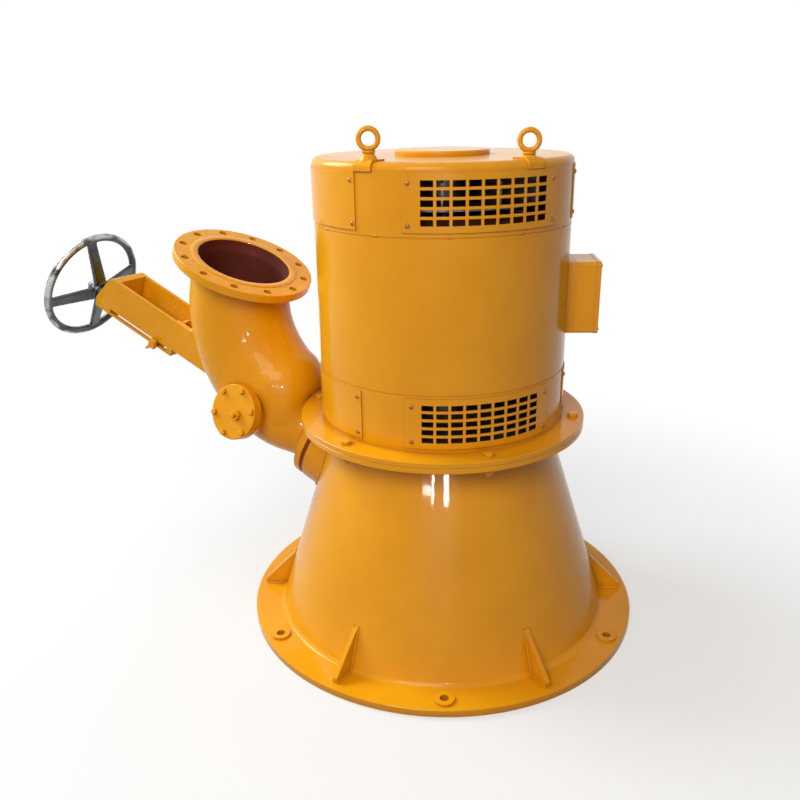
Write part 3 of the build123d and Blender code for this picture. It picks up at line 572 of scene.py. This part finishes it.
def wheel_arm(turn):
    """One arm from the hub to the rim, wider at the hub, bent upwards in steps."""
    length = rim_middle - arm_root
    arm = edit(block("wheel_arm", (length, arm_width, arm_thickness),
                     (arm_root + length / 2, 0, arm_height)))
    pick_all()
    bpy.ops.mesh.subdivide(number_cuts=arm_bends)
    for bend in range(arm_bends):
        reach = arm_root + length * (bend + 0.5) / (arm_bends + 1)
        pick(arm, "verts", lambda point: point.co.x > reach + hub_radius * 0.4)
        bpy.ops.transform.translate(value=(0, 0, (rim_height - arm_height) / arm_bends))
        pick(arm, "verts", lambda point: point.co.x > reach)
        bpy.ops.transform.resize(value=(1, arm_taper_share, 1),
                                 center_override=(0, 0, arm_height))
    done()
    arm.rotation_euler = (0, 0, turn)
    return settle(arm)


let_go()
bpy.ops.mesh.primitive_torus_add(major_segments=96, minor_segments=20, major_radius=rim_middle,
                                 minor_radius=rim_wire, location=(0, 0, rim_height))
wheel_parts = [settle(fresh("wheel_rim"))]
wheel_hub = edit(disc("wheel_hub", 48, hub_radius, hub_high - hub_low, hub_low))
pick(wheel_hub, "faces", top_faces)
bpy.ops.mesh.inset(thickness=hub_edge, depth=0)
bpy.ops.transform.translate(value=(0, 0, -hub_dish))
done()
wheel_parts.append(wheel_hub)
for index in range(arm_count):
    wheel_parts.append(wheel_arm(arm_phase + index * full_turn / arm_count))
handwheel_casting = join("handwheel_casting", wheel_parts)
apply_modifier(handwheel_casting, "cast_skin", "REMESH", mode="VOXEL", voxel_size=cast_grain)
apply_modifier(handwheel_casting, "cast_fillets", "SMOOTH", factor=0.5, iterations=9)
handwheel_casting.data.transform(nozzle_place)
smooth(handwheel_casting, 60)
handwheel_casting.data.materials.clear()
handwheel_casting.data.materials.append(wheel_iron)
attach(handwheel_casting, "handwheel")
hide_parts("handwheel")
print("handwheel faces:", len(handwheel_casting.data.polygons))

# %% [markdown]
# ## The screw
#
# The handwheel turns a screw with a coarse trapezoidal thread. One tooth's outline,
# spun round the axis while it climbs by one pitch a turn, gives the whole thread. Both
# ends are then cut square and closed.

# %% Threaded screw
thread_pitch = 8 * mm
thread_core = 8.1 * mm
thread_crest = 9.9 * mm
screw_low = 1003 * mm
screw_high = 1345 * mm
tooth = [(thread_core, 0.0), (thread_core, 0.38), (thread_crest, 0.5), (thread_crest, 0.88),
         (thread_core, 1.0)]
thread_mesh = bpy.data.meshes.new("screw_thread")
thread_mesh.from_pydata([(radius, 0, share * thread_pitch) for radius, share in tooth],
                        [(index, index + 1) for index in range(len(tooth) - 1)], [])
screw_thread = put_in_scene("screw_thread", thread_mesh)
apply_modifier(screw_thread, "thread", "SCREW", axis="Z", steps=24, render_steps=24,
               screw_offset=thread_pitch, use_merge_vertices=True, merge_threshold=1e-5,
               iterations=int((screw_high - screw_low) / thread_pitch) + 3)
thread_mesh.transform(Matrix.Translation((0, 0, screw_low - thread_pitch)))
edit(screw_thread)
for height, keep_above in ((screw_low, True), (screw_high, False)):
    pick_all()
    bpy.ops.mesh.bisect(plane_co=(0, 0, height), plane_no=(0, 0, 1), use_fill=True,
                        clear_inner=keep_above, clear_outer=not keep_above)
done()
face_outwards(screw_thread, 1e-6)
screw_thread.data.transform(nozzle_place)
smooth(screw_thread, 30)
screw_thread.data.materials.append(bright_steel)
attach(screw_thread, "handwheel")
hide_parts("wheel_screw")
print("thread faces:", len(screw_thread.data.polygons))

# %% [markdown]
# ## Bolts and nuts
#
# A hex head starts as a six-sided cylinder. Its top is inset and lifted a little, which
# gives the chamfer that every real head has, and its edges are softened. The head is
# modelled once for each size, with a washer below it, and then copied.

# %% Function for hex heads
crown_inset_share = 0.08
crown_lift_share = 0.07
head_edge_share = 0.05
stud_edge_share = 0.18
washer_edge_share = 0.2


def hex_head(name, head, washer, stud=None):
    """Washer, hex head and perhaps a stud end on z = 0, each with its (radius, height)."""
    let_go()
    parts = [disc(name, 32, *washer, 0)]
    radius, height = head
    crowned = edit(disc(name, 6, radius, height, washer[1]))
    pick(crowned, "faces", top_faces)
    bpy.ops.mesh.inset(thickness=radius * crown_inset_share, depth=0)
    bpy.ops.transform.translate(value=(0, 0, height * crown_lift_share))
    done()
    parts.append(soften(crowned, radius * head_edge_share))
    if stud:
        parts.append(soften(disc(name, 20, *stud, washer[1] + height), stud[0] * stud_edge_share))
    soften(parts[0], washer[1] * washer_edge_share)
    return smooth(join(name, parts))


def place_copies(model, name, places, finish):
    """Copies of a small part at many places, joined as one piece."""
    copies = [copy_to(model, name, place) for place in places]
    piece = join(name, copies) if len(copies) > 1 else copies[0]
    piece.data.materials.clear()
    piece.data.materials.append(finish)
    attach(piece, "body")
    return piece


# %% Bolts of the flange pair
flange_top = 581 * mm
flange_foot = 553 * mm
flange_bolt_radius = 351 * mm
flange_bolt_count = 6
first_flange_bolt = 18.5
flange_bolt = hex_head("flange_bolt", head=(13.8 * mm, 6.5 * mm), washer=(15 * mm, 2 * mm))
flange_nut = hex_head("flange_nut", head=(13.8 * mm, 13 * mm), washer=(15 * mm, 2.5 * mm),
                      stud=(7.8 * mm, 7 * mm))
for index in range(flange_bolt_count):
    azimuth = first_flange_bolt + 360 / flange_bolt_count * index
    outward = round_dir(azimuth) * flange_bolt_radius
    top = outward + straight_up * flange_top
    foot = outward + straight_up * flange_foot
    for model, kind, way, spot in (
        (flange_bolt, "flange_bolt", 1, top), (flange_nut, "flange_nut", -1, foot),
    ):
        place_copies(model, f"{kind}_{index + 1}", [standing_on((0, 0, way), spot, index)],
                     plate_enamel)
throw_away(flange_bolt)
throw_away(flange_nut)
print("flange bolts, each with its nut:", flange_bolt_count)

# %% Bolts and plug of the inspection cover
cover_face = Vector((0.27, -0.95, 0.13)).normalized()
cover_side = Vector((cover_face.y, -cover_face.x, 0)).normalized()
cover_middle = Vector((38 * mm, -174 * mm, 586 * mm))
cover_up = cover_face.cross(cover_side)
cover_place = nozzle_place @ axes(cover_side, cover_up, cover_face, cover_middle)
cover_bolt_radius = 67 * mm
cover_bolt_count = 6
cover_bolt = hex_head("cover_bolt", head=(8.6 * mm, 6.4 * mm), washer=(9.2 * mm, 1.6 * mm))
bolt_places = []
for index in range(cover_bolt_count):
    around = Matrix.Rotation(index * full_turn / cover_bolt_count, 4, "Z")
    bolt_places.append(cover_place @ around @ Matrix.Translation((cover_bolt_radius, 0, 0)))
place_copies(cover_bolt, "cover_bolts", bolt_places, cast_enamel)
throw_away(cover_bolt)
let_go()
plug_offset = 17.2 * mm
plug_head_size = 11 * mm
plug_head_height = 17 * mm
plug_crown_inset = 1.2 * mm
plug_edge = 0.8 * mm
plug_head = edit(block("plug_head", (plug_head_size, plug_head_size, plug_head_size),
                       (0, plug_offset, plug_head_height)))
pick(plug_head, "faces", top_faces)
bpy.ops.mesh.inset(thickness=plug_crown_inset, depth=plug_edge)
done()
smooth(soften(plug_head, plug_edge))
plug_head.data.transform(cover_place)
plug_head.data.materials.append(cast_enamel)
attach(plug_head, "body")
print("cover bolts:", cover_bolt_count)

# %% Nuts of the gland and the stud in the yoke's pocket
gland_face = 958 * mm
gland_stud_offset = 34 * mm
gland_nut = hex_head("gland_nut", head=(9.2 * mm, 7 * mm), washer=(9.6 * mm, 1.2 * mm))
gland_places = []
for side in (-gland_stud_offset, gland_stud_offset):
    gland_places.append(nozzle_place @ Matrix.Translation((0, side, gland_face)))
place_copies(gland_nut, "gland_nuts", gland_places, plated_screw)
throw_away(gland_nut)
pocket_floor = Vector((45 * mm, 0, 940.5 * mm))
facing_up = (Vector((0, 1, 0)), Vector((0, 0, 1)), Vector((1, 0, 0)))
pocket_stud = hex_head("pocket_stud_model", head=(5 * mm, 6 * mm), washer=(5.2 * mm, 18 * mm),
                       stud=(3.4 * mm, 12 * mm))
pocket_place = nozzle_place @ axes(*facing_up, pocket_floor)
place_copies(pocket_stud, "pocket_stud", [pocket_place], plated_screw)
throw_away(pocket_stud)
print("gland nuts: 2")

# %% [markdown]
# ## Small screws
#
# The ventilation plates and the terminal box lid are held by round-headed screws. The
# head is the upper part of a ball: the lower part is cut away, the rest is flattened,
# and the slot is a thin sunk strip across the crown.

# %% Round-headed screw
ball_cut_share = 0.2
slot_length_share = 1.7
slot_width_share = 0.26
slot_depth_share = 0.7


def round_screw(name, radius, height):
    let_go()
    bpy.ops.mesh.primitive_uv_sphere_add(segments=20, ring_count=12, radius=radius)
    head = fresh(name)
    foot = radius * ball_cut_share
    edit(head)
    pick_all()
    bpy.ops.mesh.bisect(plane_co=(0, 0, foot), plane_no=(0, 0, 1), use_fill=True,
                        clear_inner=True)
    pick_all()
    bpy.ops.transform.resize(value=(1, 1, height / (radius - foot)), center_override=(0, 0, foot))
    bpy.ops.transform.translate(value=(0, 0, -foot))
    done()
    slot_size = (radius * slot_length_share, radius * slot_width_share, height * slot_depth_share)
    slot_cut = block("slot_cut", slot_size, (0, 0, height))
    apply_modifier(head, "slot", "BOOLEAN", object=slot_cut, operation="DIFFERENCE",
                   solver="EXACT")
    throw_away(slot_cut)
    return smooth(head, 40)


# %% Screws of the ventilation plates
plate_face = 323.3 * mm
first_slot_turn = 0.4
slot_turn_step = 0.7
vent_screw = round_screw("vent_screw", 6.0 * mm, 3.4 * mm)
front_upper = [(-13.3, 1201), (49.9, 1201), (-13.3, 1111), (49.9, 1111)]
front_lower = [(-12.6, 696), (50.9, 696), (-12.6, 608), (50.9, 608)]
side_upper = [(-39.0, 1204), (-38.2, 1110), (-103.2, 1204), (-103.2, 1110)]
side_lower = [(-39.0, 699), (-39.0, 608), (-103.2, 699), (-103.2, 608)]


def vent_screw_places(spots, turn):
    places = []
    for count, (azimuth, height) in enumerate(spots):
        slot_turn = slot_turn_step * count + first_slot_turn
        places.append(facing_out(azimuth + turn, plate_face, height * mm, slot_turn))
    return places


for label, spots, turn in (
    ("upper_front", front_upper, 0), ("upper_back", front_upper, 180),
    ("upper_left", side_upper, 0), ("upper_right", side_upper, 180),
    ("lower_front", front_lower, 0), ("lower_back", front_lower, 180),
    ("lower_left", side_lower, 0), ("lower_right", side_lower, 180),
):
    place_copies(vent_screw, f"vent_screws_{label}", vent_screw_places(spots, turn),
                 plated_screw)
print("screws of the ventilation plates: 32")

# %% Screws of the terminal box lid
lid_face = 395.5 * mm
lid_middle = 894.5 * mm
lid_screw_side = 55 * mm
lid_screw_rise = 81 * mm
lid_slot_turn = 0.6
lid_places = []
for side in (-lid_screw_side, lid_screw_side):
    for rise in (-lid_screw_rise, lid_screw_rise):
        spot = (lid_face, side, lid_middle + rise)
        lid_places.append(standing_on((1, 0, 0), spot, lid_slot_turn))
place_copies(vent_screw, "lid_screws", lid_places, plated_screw)
throw_away(vent_screw)
print("lid screws: 4")

# %% [markdown]
# ## Neck of the terminal box
#
# The box stands on a sheet metal collar of its own width, which is welded to the
# casing. The collar is a cube at its place, with its long edges softened like folded
# sheet, and its inner end stays inside the casing's wall.

# %% Collar of the terminal box
box_start = 334.5 * mm
collar_start = 312.5 * mm
collar_height = 180 * mm
collar_width = 127 * mm
fold_radius = 3 * mm
long_edge = 10 * mm
let_go()
collar = edit(block("terminal_collar", (box_start - collar_start, collar_width, collar_height),
                    ((box_start + collar_start) / 2, 0, lid_middle)))
pick(collar, "edges", lambda edge: abs(edge.verts[0].co.x - edge.verts[1].co.x) > long_edge)
bpy.ops.mesh.bevel(offset=fold_radius, segments=4)
done()
smooth(collar)
collar.data.materials.append(sheet_enamel)
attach(collar, "body")
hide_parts("terminal_neck")
print("collar:", round(collar_width / mm), "by", round(collar_height / mm), "mm")

# %% [markdown]
# ## Fillets of the cone
#
# The cone runs into the ring below and into the flange above in hollow fillets. A
# fillet is a section of a few points, a quarter of a circle between the two walls,
# that is spun round the machine's axis in edit mode. Its back sits a little inside
# the solids that it joins, so that no line shows between them.

# %% Spun fillets
cone_foot_radius = 459 * mm
cone_top_radius = 288.5 * mm
ring_top = 20 * mm
cone_slope = (cone_foot_radius - cone_top_radius) / (flange_foot - ring_top)
cone_lean = atan(cone_slope)
spin_steps = 144
fillet_steps = 8
fillet_back = 1.5 * mm
fillet_buried = 1 * mm
foot_fillet_size = 17 * mm
flange_fillet_size = 9 * mm


def cone_radius(height):
    return cone_foot_radius - (height - ring_top) * cone_slope


def spun_ring(name, section, place=None):
    """Closed section of (radius, height) points, spun round the vertical axis."""
    mesh = bpy.data.meshes.new(name)
    count = len(section)
    mesh.from_pydata([(0, -radius, level) for radius, level in section],
                     [(index, (index + 1) % count) for index in range(count)], [])
    ring = edit(put_in_scene(name, mesh))
    pick_all()
    bpy.ops.mesh.spin(steps=spin_steps, angle=full_turn, center=(0, 0, 0), axis=(0, 0, 1))
    done()
    face_outwards(ring)
    if place:
        ring.data.transform(place)
    smooth(ring, 50)
    ring.data.materials.append(plate_enamel)
    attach(ring, "body")
    return ring


def spun_fillet(name, height, size, upwards):
    """Hollow fillet between the cone and a level face at a height."""
    sign = 1 if upwards else -1
    opening = pi / 2 + sign * cone_lean
    reach = size / tan(opening / 2)
    corner = cone_radius(height)
    across, level = corner + reach, height + sign * size
    buried = height - sign * fillet_buried
    section = []
    for index in range(fillet_steps + 1):
        turn = -pi / 2 - (pi - opening) * index / fillet_steps
        section.append((across + size * cos(turn), level + sign * size * sin(turn)))
    section.append((section[-1][0] - fillet_back, section[-1][1]))
    section.append((corner - fillet_back, buried))
    section.append((section[0][0], buried))
    return spun_ring(name, section)


spun_fillet("foot_fillet", ring_top, foot_fillet_size, True)
spun_fillet("flange_fillet", flange_foot, flange_fillet_size, False)
print("fillets: 2")

# %% [markdown]
# ## Weld beads
#
# The ribs and the nozzle's boss are welded on, and the beads follow their lines. Each is
# a curve with a round section, turned into a mesh, and every other point is a little
# thinner, as the ripples of a weld are. The boss is a cylinder that meets the cone, so
# each point of that line is found by halving the stretch in which the cone is reached.

# %% Beads along lines
ripple_share = 0.84


def bead_along(name, lines, size, closed=False):
    """One piece with a round bead along each line of points."""
    curve = bpy.data.curves.new(name, "CURVE")
    curve.dimensions = "3D"
    curve.bevel_depth = size
    curve.bevel_resolution = 2
    curve.use_fill_caps = not closed
    for points in lines:
        line = curve.splines.new("POLY")
        line.points.add(len(points) - 1)
        for count, point in enumerate(points):
            line.points[count].co = (*point, 1)
            line.points[count].radius = 1.0 if count % 2 else ripple_share
        line.use_cyclic_u = closed
    take(put_in_scene(name, curve))
    bpy.ops.object.convert(target="MESH")
    bead = fresh(name)
    bpy.ops.object.shade_smooth()
    bead.data.materials.clear()
    bead.data.materials.append(plate_enamel)
    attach(bead, "body")
    return bead


def between(first, last, step):
    count = max(2, int((last - first).length / step))
    return [first.lerp(last, index / count) for index in range(count + 1)]


# %% Beads of the ribs
rib_count = 6
first_rib = 30
rib_half = 6 * mm
rib_high = 130 * mm
rib_toe = 520 * mm
rib_bead = 3.2 * mm
bead_step = 3.2 * mm
foot_shift = 2 * mm
head_shift = 1 * mm
seam_shift = 0.5 * mm
rib_lines = []
for index in range(rib_count):
    outward = round_dir(first_rib + 360 / rib_count * index)
    sideways = straight_up.cross(outward)
    for side in (-1, 1):
        shift = sideways * side * (rib_half + seam_shift)
        foot = outward * (cone_radius(ring_top) + foot_shift)
        foot += straight_up * (ring_top + head_shift)
        head = outward * (cone_radius(rib_high) + head_shift) + straight_up * rib_high
        toe = outward * (rib_toe - head_shift) + straight_up * (ring_top + seam_shift)
        rib_lines.append(between(foot + shift, head + shift, bead_step))
        rib_lines.append(between(foot + shift, toe + shift, bead_step))
bead_along("rib_welds", rib_lines, rib_bead)
print("rib beads:", len(rib_lines))

# %% Bead of the boss
boss_radius = 112 * mm
boss_bead = 4.5 * mm
bead_room = 5 * mm
bead_lift = 1 * mm
search_start, search_end = 150 * mm, 600 * mm
halvings = 40


def boss_line(count):
    """Points where the boss meets the cone."""
    points = []
    for index in range(count):
        turn = index * full_turn / count
        side = Vector((cos(turn), sin(turn), 0)) * (boss_radius + bead_lift)
        low, high = search_start, search_end
        for _ in range(halvings):
            middle = (low + high) / 2
            point = nozzle_place @ (side + Vector((0, 0, middle)))
            if hypot(point.x, point.y) < cone_radius(point.z) + bead_lift:
                low = middle
            else:
                high = middle
        points.append(nozzle_place @ (side + Vector((0, 0, low))))
    return [point for point in points if point.z < flange_foot - bead_room]


bead_along("boss_weld", [boss_line(240)], boss_bead, closed=True)
print("boss bead done")

# %% [markdown]
# ## The paint inside the inlet
#
# The inside of the elbow is coated with a dull, dark red primer. The coat is a thin
# skin inside the casting: circles of the bore's size stand along the bend, they are
# bridged into a tube, and the tube gets a small thickness, so that it is closed.

# %% Shape of the elbow
elbow_foot = 395 * mm
elbow_station = 797 * mm
bend_reach = elbow_station - elbow_foot
inlet_face = 373 * mm
flange_thickness = 24 * mm
flange_back = inlet_face - flange_thickness
bend_height = flange_back - 12 * mm
neck_radius = 138 * mm
outlet_radius = 78 * mm
growth = ((0.0, 0.0), (7.5, 0.17), (15.0, 0.53), (30.0, 0.89), (45.0, 1.02), (60.0, 1.04),
          (75.0, 1.02), (90.0, 1.0))
eased_part = 0.4


def growth_at(turn):
    """Share of the elbow's growth at a turn, between the table's values."""
    for (first, low), (last, high) in zip(growth, growth[1:]):
        if turn <= last:
            share = (turn - first) / (last - first)
            smoothed = share * share * (3 - 2 * share)
            eased = smoothed * eased_part + share * (1 - eased_part)
            return low + (high - low) * eased
    return growth[-1][1]


def elbow_section(turn):
    """Middle, lean and outer radius of the elbow at a turn in degrees."""
    slope = radians(turn)
    middle = Vector((bend_height * (1 - cos(slope)), 0,
                     elbow_foot + bend_reach * sin(slope)))
    lean = atan2(bend_height * sin(slope), bend_reach * cos(slope))
    return middle, lean, outlet_radius + (neck_radius - outlet_radius) * growth_at(turn)


print("elbow grows from", round(outlet_radius / mm), "to", round(neck_radius / mm), "mm")

# %% Primer coat inside the elbow
coat_inset = 11.5 * mm
coat_thickness = 0.6 * mm
first_coat_turn = 15
coat_steps = 15
coat_rings = []
for index in range(coat_steps + 1):
    turn = first_coat_turn + (90 - first_coat_turn) * index / coat_steps
    middle, lean, radius = elbow_section(turn)
    coat_rings.append((middle, lean, radius - coat_inset))
bore_radius = 130.6 * mm
for height in (flange_back - 6 * mm, flange_back + 2 * mm, inlet_face - 0.4 * mm):
    radius = bore_radius if height > flange_back else neck_radius - coat_inset
    coat_rings.append((Vector((height, 0, elbow_station)), pi / 2, radius))
rings = []
let_go()
for middle, lean, radius in coat_rings:
    bpy.ops.mesh.primitive_circle_add(vertices=72, radius=radius, location=middle,
                                      rotation=(0, lean, 0))
    rings.append(settle(fresh("coat_ring")))
inlet_lining = join("inlet_lining", rings)
edit(inlet_lining)
bpy.ops.mesh.select_mode(type="EDGE")
pick_all()
bpy.ops.mesh.bridge_edge_loops()
pick_all()
bpy.ops.mesh.normals_make_consistent(inside=False)
done()
apply_modifier(inlet_lining, "coat", "SOLIDIFY", thickness=coat_thickness, offset=-1)
face_outwards(inlet_lining, 1e-6)
inlet_lining.data.transform(nozzle_place)
smooth(inlet_lining, 50)
inlet_lining.data.materials.append(bore_paint)
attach(inlet_lining, "body")
print("lining faces:", len(inlet_lining.data.polygons))

# %% [markdown]
# ## Full throat of the elbow
#
# On the inside of the bend the real casting is fuller than a plain tube: its shoulder
# stands out between the neck and the flange pair. No operator swells a bent tube by a
# table of heights, so the points are worked out. Each section is an arc on the elbow's
# own circle that swells in the middle, and the sections are joined to a closed shell.
# Where it would touch the rim of the flange pair, it is let down until it is clear.

# %% Shoulder on the inside of the bend
shoulder_table = ((3, 0), (6, 8), (9, 20), (12, 34), (15, 47), (18, 56), (21, 59), (25, 57),
                  (30, 50), (37, 38), (45, 28), (60, 19), (75, 15), (86, 0))
first_turn, last_turn = shoulder_table[0][0], shoulder_table[-1][0]
edge_sunk = 4 * mm
wall = 3 * mm
arc_half = radians(100)
arc_points = 32
section_count = 48
rim_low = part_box("housing_flange")[0].z
rim_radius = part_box("generator_flange")[1].x
rim_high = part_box("generator_flange")[1].z
rim_room = 4 * mm
let_down_step = 1 * mm


def shoulder_height(turn):
    for (first, low), (last, high) in zip(shoulder_table, shoulder_table[1:]):
        if first <= turn <= last:
            share = (turn - first) / (last - first)
            return (low + (high - low) * share) * mm
    return 0.0


def too_near_rim(point):
    placed = nozzle_place @ point
    beyond = max(rim_low - placed.z, placed.z - rim_high, rim_room) - rim_room
    return hypot(placed.x, placed.y) < rim_radius + rim_room - beyond


shoulder_points = []
for index in range(section_count):
    turn = first_turn + (last_turn - first_turn) * index / (section_count - 1)
    middle, lean, radius = elbow_section(turn)
    sunk = radius - edge_sunk
    swell = sum(shoulder_height(turn + step) for step in (-2, -1, 0, 1, 2)) / 5
    upward = Vector((cos(lean), 0, -sin(lean)))
    for outside in (True, False):
        for count in range(arc_points + 1):
            angle = -arc_half + 2 * arc_half * count / arc_points
            bump = cos(angle / arc_half * pi / 2) ** 2
            across = upward * cos(angle) + Vector((0, 1, 0)) * sin(angle)
            lift = (swell + edge_sunk) * bump
            while lift > 0 and too_near_rim(middle + across * (sunk + lift)):
                lift -= let_down_step
            reach = sunk + max(lift, 0) if outside else sunk - wall
            shoulder_points.append(middle + across * reach)
ring_size = 2 * (arc_points + 1)
outline = list(range(arc_points + 1)) + list(range(ring_size - 1, arc_points, -1))
last_ring = ring_size * (section_count - 1)
shoulder_faces = [outline, [point + last_ring for point in reversed(outline)]]
for index in range(section_count - 1):
    for here, after in zip(outline, outline[1:] + outline[:1]):
        low, high = index * ring_size, (index + 1) * ring_size
        shoulder_faces.append([low + here, low + after, high + after, high + here])
shoulder_mesh = bpy.data.meshes.new("elbow_shoulder")
shoulder_mesh.from_pydata(shoulder_points, [], shoulder_faces)
elbow_shoulder = face_outwards(put_in_scene("elbow_shoulder", shoulder_mesh), 1e-6)
elbow_shoulder.data.transform(nozzle_place)
smooth(elbow_shoulder, 60)
elbow_shoulder.data.materials.append(cast_enamel)
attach(elbow_shoulder, "body")
print("shoulder faces:", len(elbow_shoulder.data.polygons))

# %% [markdown]
# ## Raised face of the inlet
#
# The gasket sits on a raised ring round the bore, inside the bolt holes. It is the
# same spun section as the fillets, with a low step, put in the inlet's place.

# %% Raised face
raised_outer = 152 * mm
raised_inner = 131.3 * mm
raised_height = 1.6 * mm
raised_buried = 1 * mm
raised_section = [(raised_inner, -raised_buried), (raised_inner, raised_height - 0.5 * mm),
                  (raised_inner + 0.5 * mm, raised_height), (raised_outer - 1 * mm, raised_height),
                  (raised_outer, raised_height - 0.8 * mm), (raised_outer, -raised_buried)]
inlet_place = nozzle_place @ axes(*facing_up, Vector((inlet_face, 0, elbow_station)))
spun_ring("inlet_raised_face", raised_section, inlet_place)
print("raised face:", round(2 * raised_outer / mm), "mm across")

# %% [markdown]
# ## Painted shade on the casing's floor
#
# Through the lower grille one looks down on the casing's floor, where the shade is
# painted: a flat spun ring with a dark finish, laid on the flange.

# %% Dark plate of painted shade
plate_inner = 135 * mm
plate_outer = 314 * mm
plate_foot = flange_top + 0.2 * mm
plate_top = flange_top + 1.4 * mm
floor_section = [(plate_inner, plate_foot), (plate_outer, plate_foot),
                 (plate_outer, plate_top), (plate_inner, plate_top)]
shade_plate = spun_ring("shade_plate", floor_section)
shade_plate.data.materials.clear()
shade_plate.data.materials.append(core_steel)
print("casing floor laid")

# %% [markdown]
# ## Tack welds and the earth screw
#
# Where the upper ring of the casing meets the middle one, short tack welds stand out
# a little. Each is a small ball, flattened and stretched along the seam. The earth
# screw sits to the right of the front, and is the same round-headed screw.

# %% Tack welds
casing_radius = 320.5 * mm
upper_seam = 1086 * mm
tack_count = 12
first_tack = 2.8
tack_half = (7 * mm, 2.6 * mm, 2.2 * mm)
tack_end = 4 * mm
tack_end_shares = (1, 0.8, 0.6)
let_go()
bpy.ops.mesh.primitive_uv_sphere_add(segments=16, ring_count=8, radius=1)
tack = fresh("tack_weld")
tack.scale = tack_half
settle(tack)
edit(tack)
pick(tack, "verts", lambda point: abs(point.co.x) > tack_end)
bpy.ops.transform.resize(value=tack_end_shares)
done()
take(tack)
bpy.ops.object.shade_smooth()
tack_places = []
for index in range(tack_count):
    azimuth = first_tack + 360 / tack_count * index
    tack_places.append(facing_out(azimuth, casing_radius, upper_seam + 1 * mm))
place_copies(tack, "seam_tacks", tack_places, sheet_enamel)
throw_away(tack)
print("tack welds:", tack_count)

# %% Earth screw
earth_azimuth = 67.4
earth_height = 889 * mm
earth_slot_turn = 0.3
earth_screw = round_screw("earth_screw_model", 4.5 * mm, 3 * mm)
earth_place = facing_out(earth_azimuth, casing_radius, earth_height, earth_slot_turn)
place_copies(earth_screw, "earth_screw", [earth_place], plated_screw)
throw_away(earth_screw)
print("earth screw set")

# %% [markdown]
# ## Floor, backdrop and light
#
# The machine stands on a plain pale floor in a bright room. Seen by the camera and by
# reflections, the world behind it is white. The light on the machine comes from the
# world at a plain level, from a large cool window high on the left and from a warmer
# room lamp in front. Four small lamps stand for the panes and the sill of windows, and
# show only as the bright spots that the glossy enamel mirrors.

# %% World
world = bpy.data.worlds.new("studio")
bpy.context.scene.world = world
tree = empty_nodes(world)
ray = add(tree, "LightPath")
sees = add(tree, "Math", operation="MAXIMUM")
sees_more = add(tree, "Math", operation="MAXIMUM")
room = add(tree, "Background", Strength=0.25, Color=(1.0, 0.78, 0.6, 1))
white = add(tree, "Background", Strength=1.0, Color=(1, 1, 1, 1))
choose = add(tree, "MixShader")
world_out = add(tree, "OutputWorld")
wire(tree,
     (ray, "Is Camera Ray", sees, 0), (ray, "Is Glossy Ray", sees, 1),
     (sees, "Value", sees_more, 0), (ray, "Is Transmission Ray", sees_more, 1),
     (sees_more, "Value", choose, "Fac"), (room, "Background", choose, 1),
     (white, "Background", choose, 2), (choose, "Shader", world_out, "Surface"))

# %% Pale floor that fades to white
shadow_radius = 0.55
white_radius = 2.0
floor_radius = 14
floor_material = bpy.data.materials.new("pale_floor")
tree = empty_nodes(floor_material)
place = add(tree, "TexCoord")
distance = add(tree, "VectorMath", operation="LENGTH")
fade = add(tree, "MapRange", interpolation_type="SMOOTHSTEP",
           From_Min=shadow_radius, From_Max=white_radius, To_Min=0.55, To_Max=1.0)
ray = add(tree, "LightPath")
sees = add(tree, "Math", operation="MAXIMUM")
factor = add(tree, "Math", operation="MULTIPLY")
matt = add(tree, "BsdfDiffuse")
seen_tone = add(tree, "Mix", data_type="RGBA",
                A=(0.25, 0.24, 0.22, 1), B=(0.76, 0.85, 0.96, 1))
glow = add(tree, "Emission", Strength=1.0)
mixed = add(tree, "MixShader")
floor_out = add(tree, "OutputMaterial")
wire(tree,
     (place, "Object", distance, 0), (distance, "Value", fade, "Value"),
     (ray, "Is Camera Ray", sees, 0), (ray, "Is Glossy Ray", sees, 1),
     (sees, "Value", seen_tone, "Factor"), (seen_tone, "Result", matt, "Color"),
     (fade, "Result", factor, 0), (sees, "Value", factor, 1),
     (factor, "Value", mixed, "Fac"), (matt, "BSDF", mixed, 1),
     (glow, "Emission", mixed, 2), (mixed, "Shader", floor_out, "Surface"))
let_go()
bpy.ops.mesh.primitive_circle_add(vertices=96, radius=floor_radius, fill_type="NGON",
                                  location=(0, 0, 0))
floor = fresh("floor")
floor.data.materials.append(floor_material)
print("floor and world ready")


# %% Lamps
machine_middle = (-0.1, 0.0, 0.75)
mirrored_spot = (0, -0.3, 0.5)
window_distance = 5.2
window_white = (1.0, 0.99, 0.96)


def lamp(name, azimuth, distance, height, size, radiance, colour, aim=machine_middle):
    """Flat lamp at an azimuth that faces the machine, with its brightness per area."""
    data = bpy.data.lights.new(name, "AREA")
    data.shape = "RECTANGLE"
    data.size, data.size_y = size
    data.energy = radiance * pi * size[0] * size[1]
    data.color = colour
    body = put_in_scene(name, data)
    spot = round_dir(azimuth) * distance + straight_up * height
    body.matrix_world = standing_on(spot - Vector(aim), spot)
    return body


def glint(name, azimuth, height, size, radiance, aim=mirrored_spot):
    """Narrow lamp that shows only as a mirror image in the enamel."""
    body = lamp(name, azimuth, window_distance, height, size, radiance, window_white, aim)
    body.visible_diffuse = False
    body.visible_camera = False
    return body


lamp("left_window", -110, 3.4, 3.0, (2.0, 2.0), 12.5, (1.0, 0.99, 0.93))
lamp("room_light", -15, 3.4, 3.1, (2.0, 2.0), 8.5, (1.0, 0.79, 0.60))
glint("middle_window", 4.5, 1.32, (0.42, 0.34), 90.0)
glint("window_bar", -7.5, 1.32, (0.20, 0.34), 90.0)
glint("window_sill", -13.0, 1.25, (0.66, 0.07), 80.0)
glint("small_window", -62.0, 1.30, (0.25, 0.12), 70.0, aim=(-0.2, -0.2, 0.5))
print("lamps: 6")
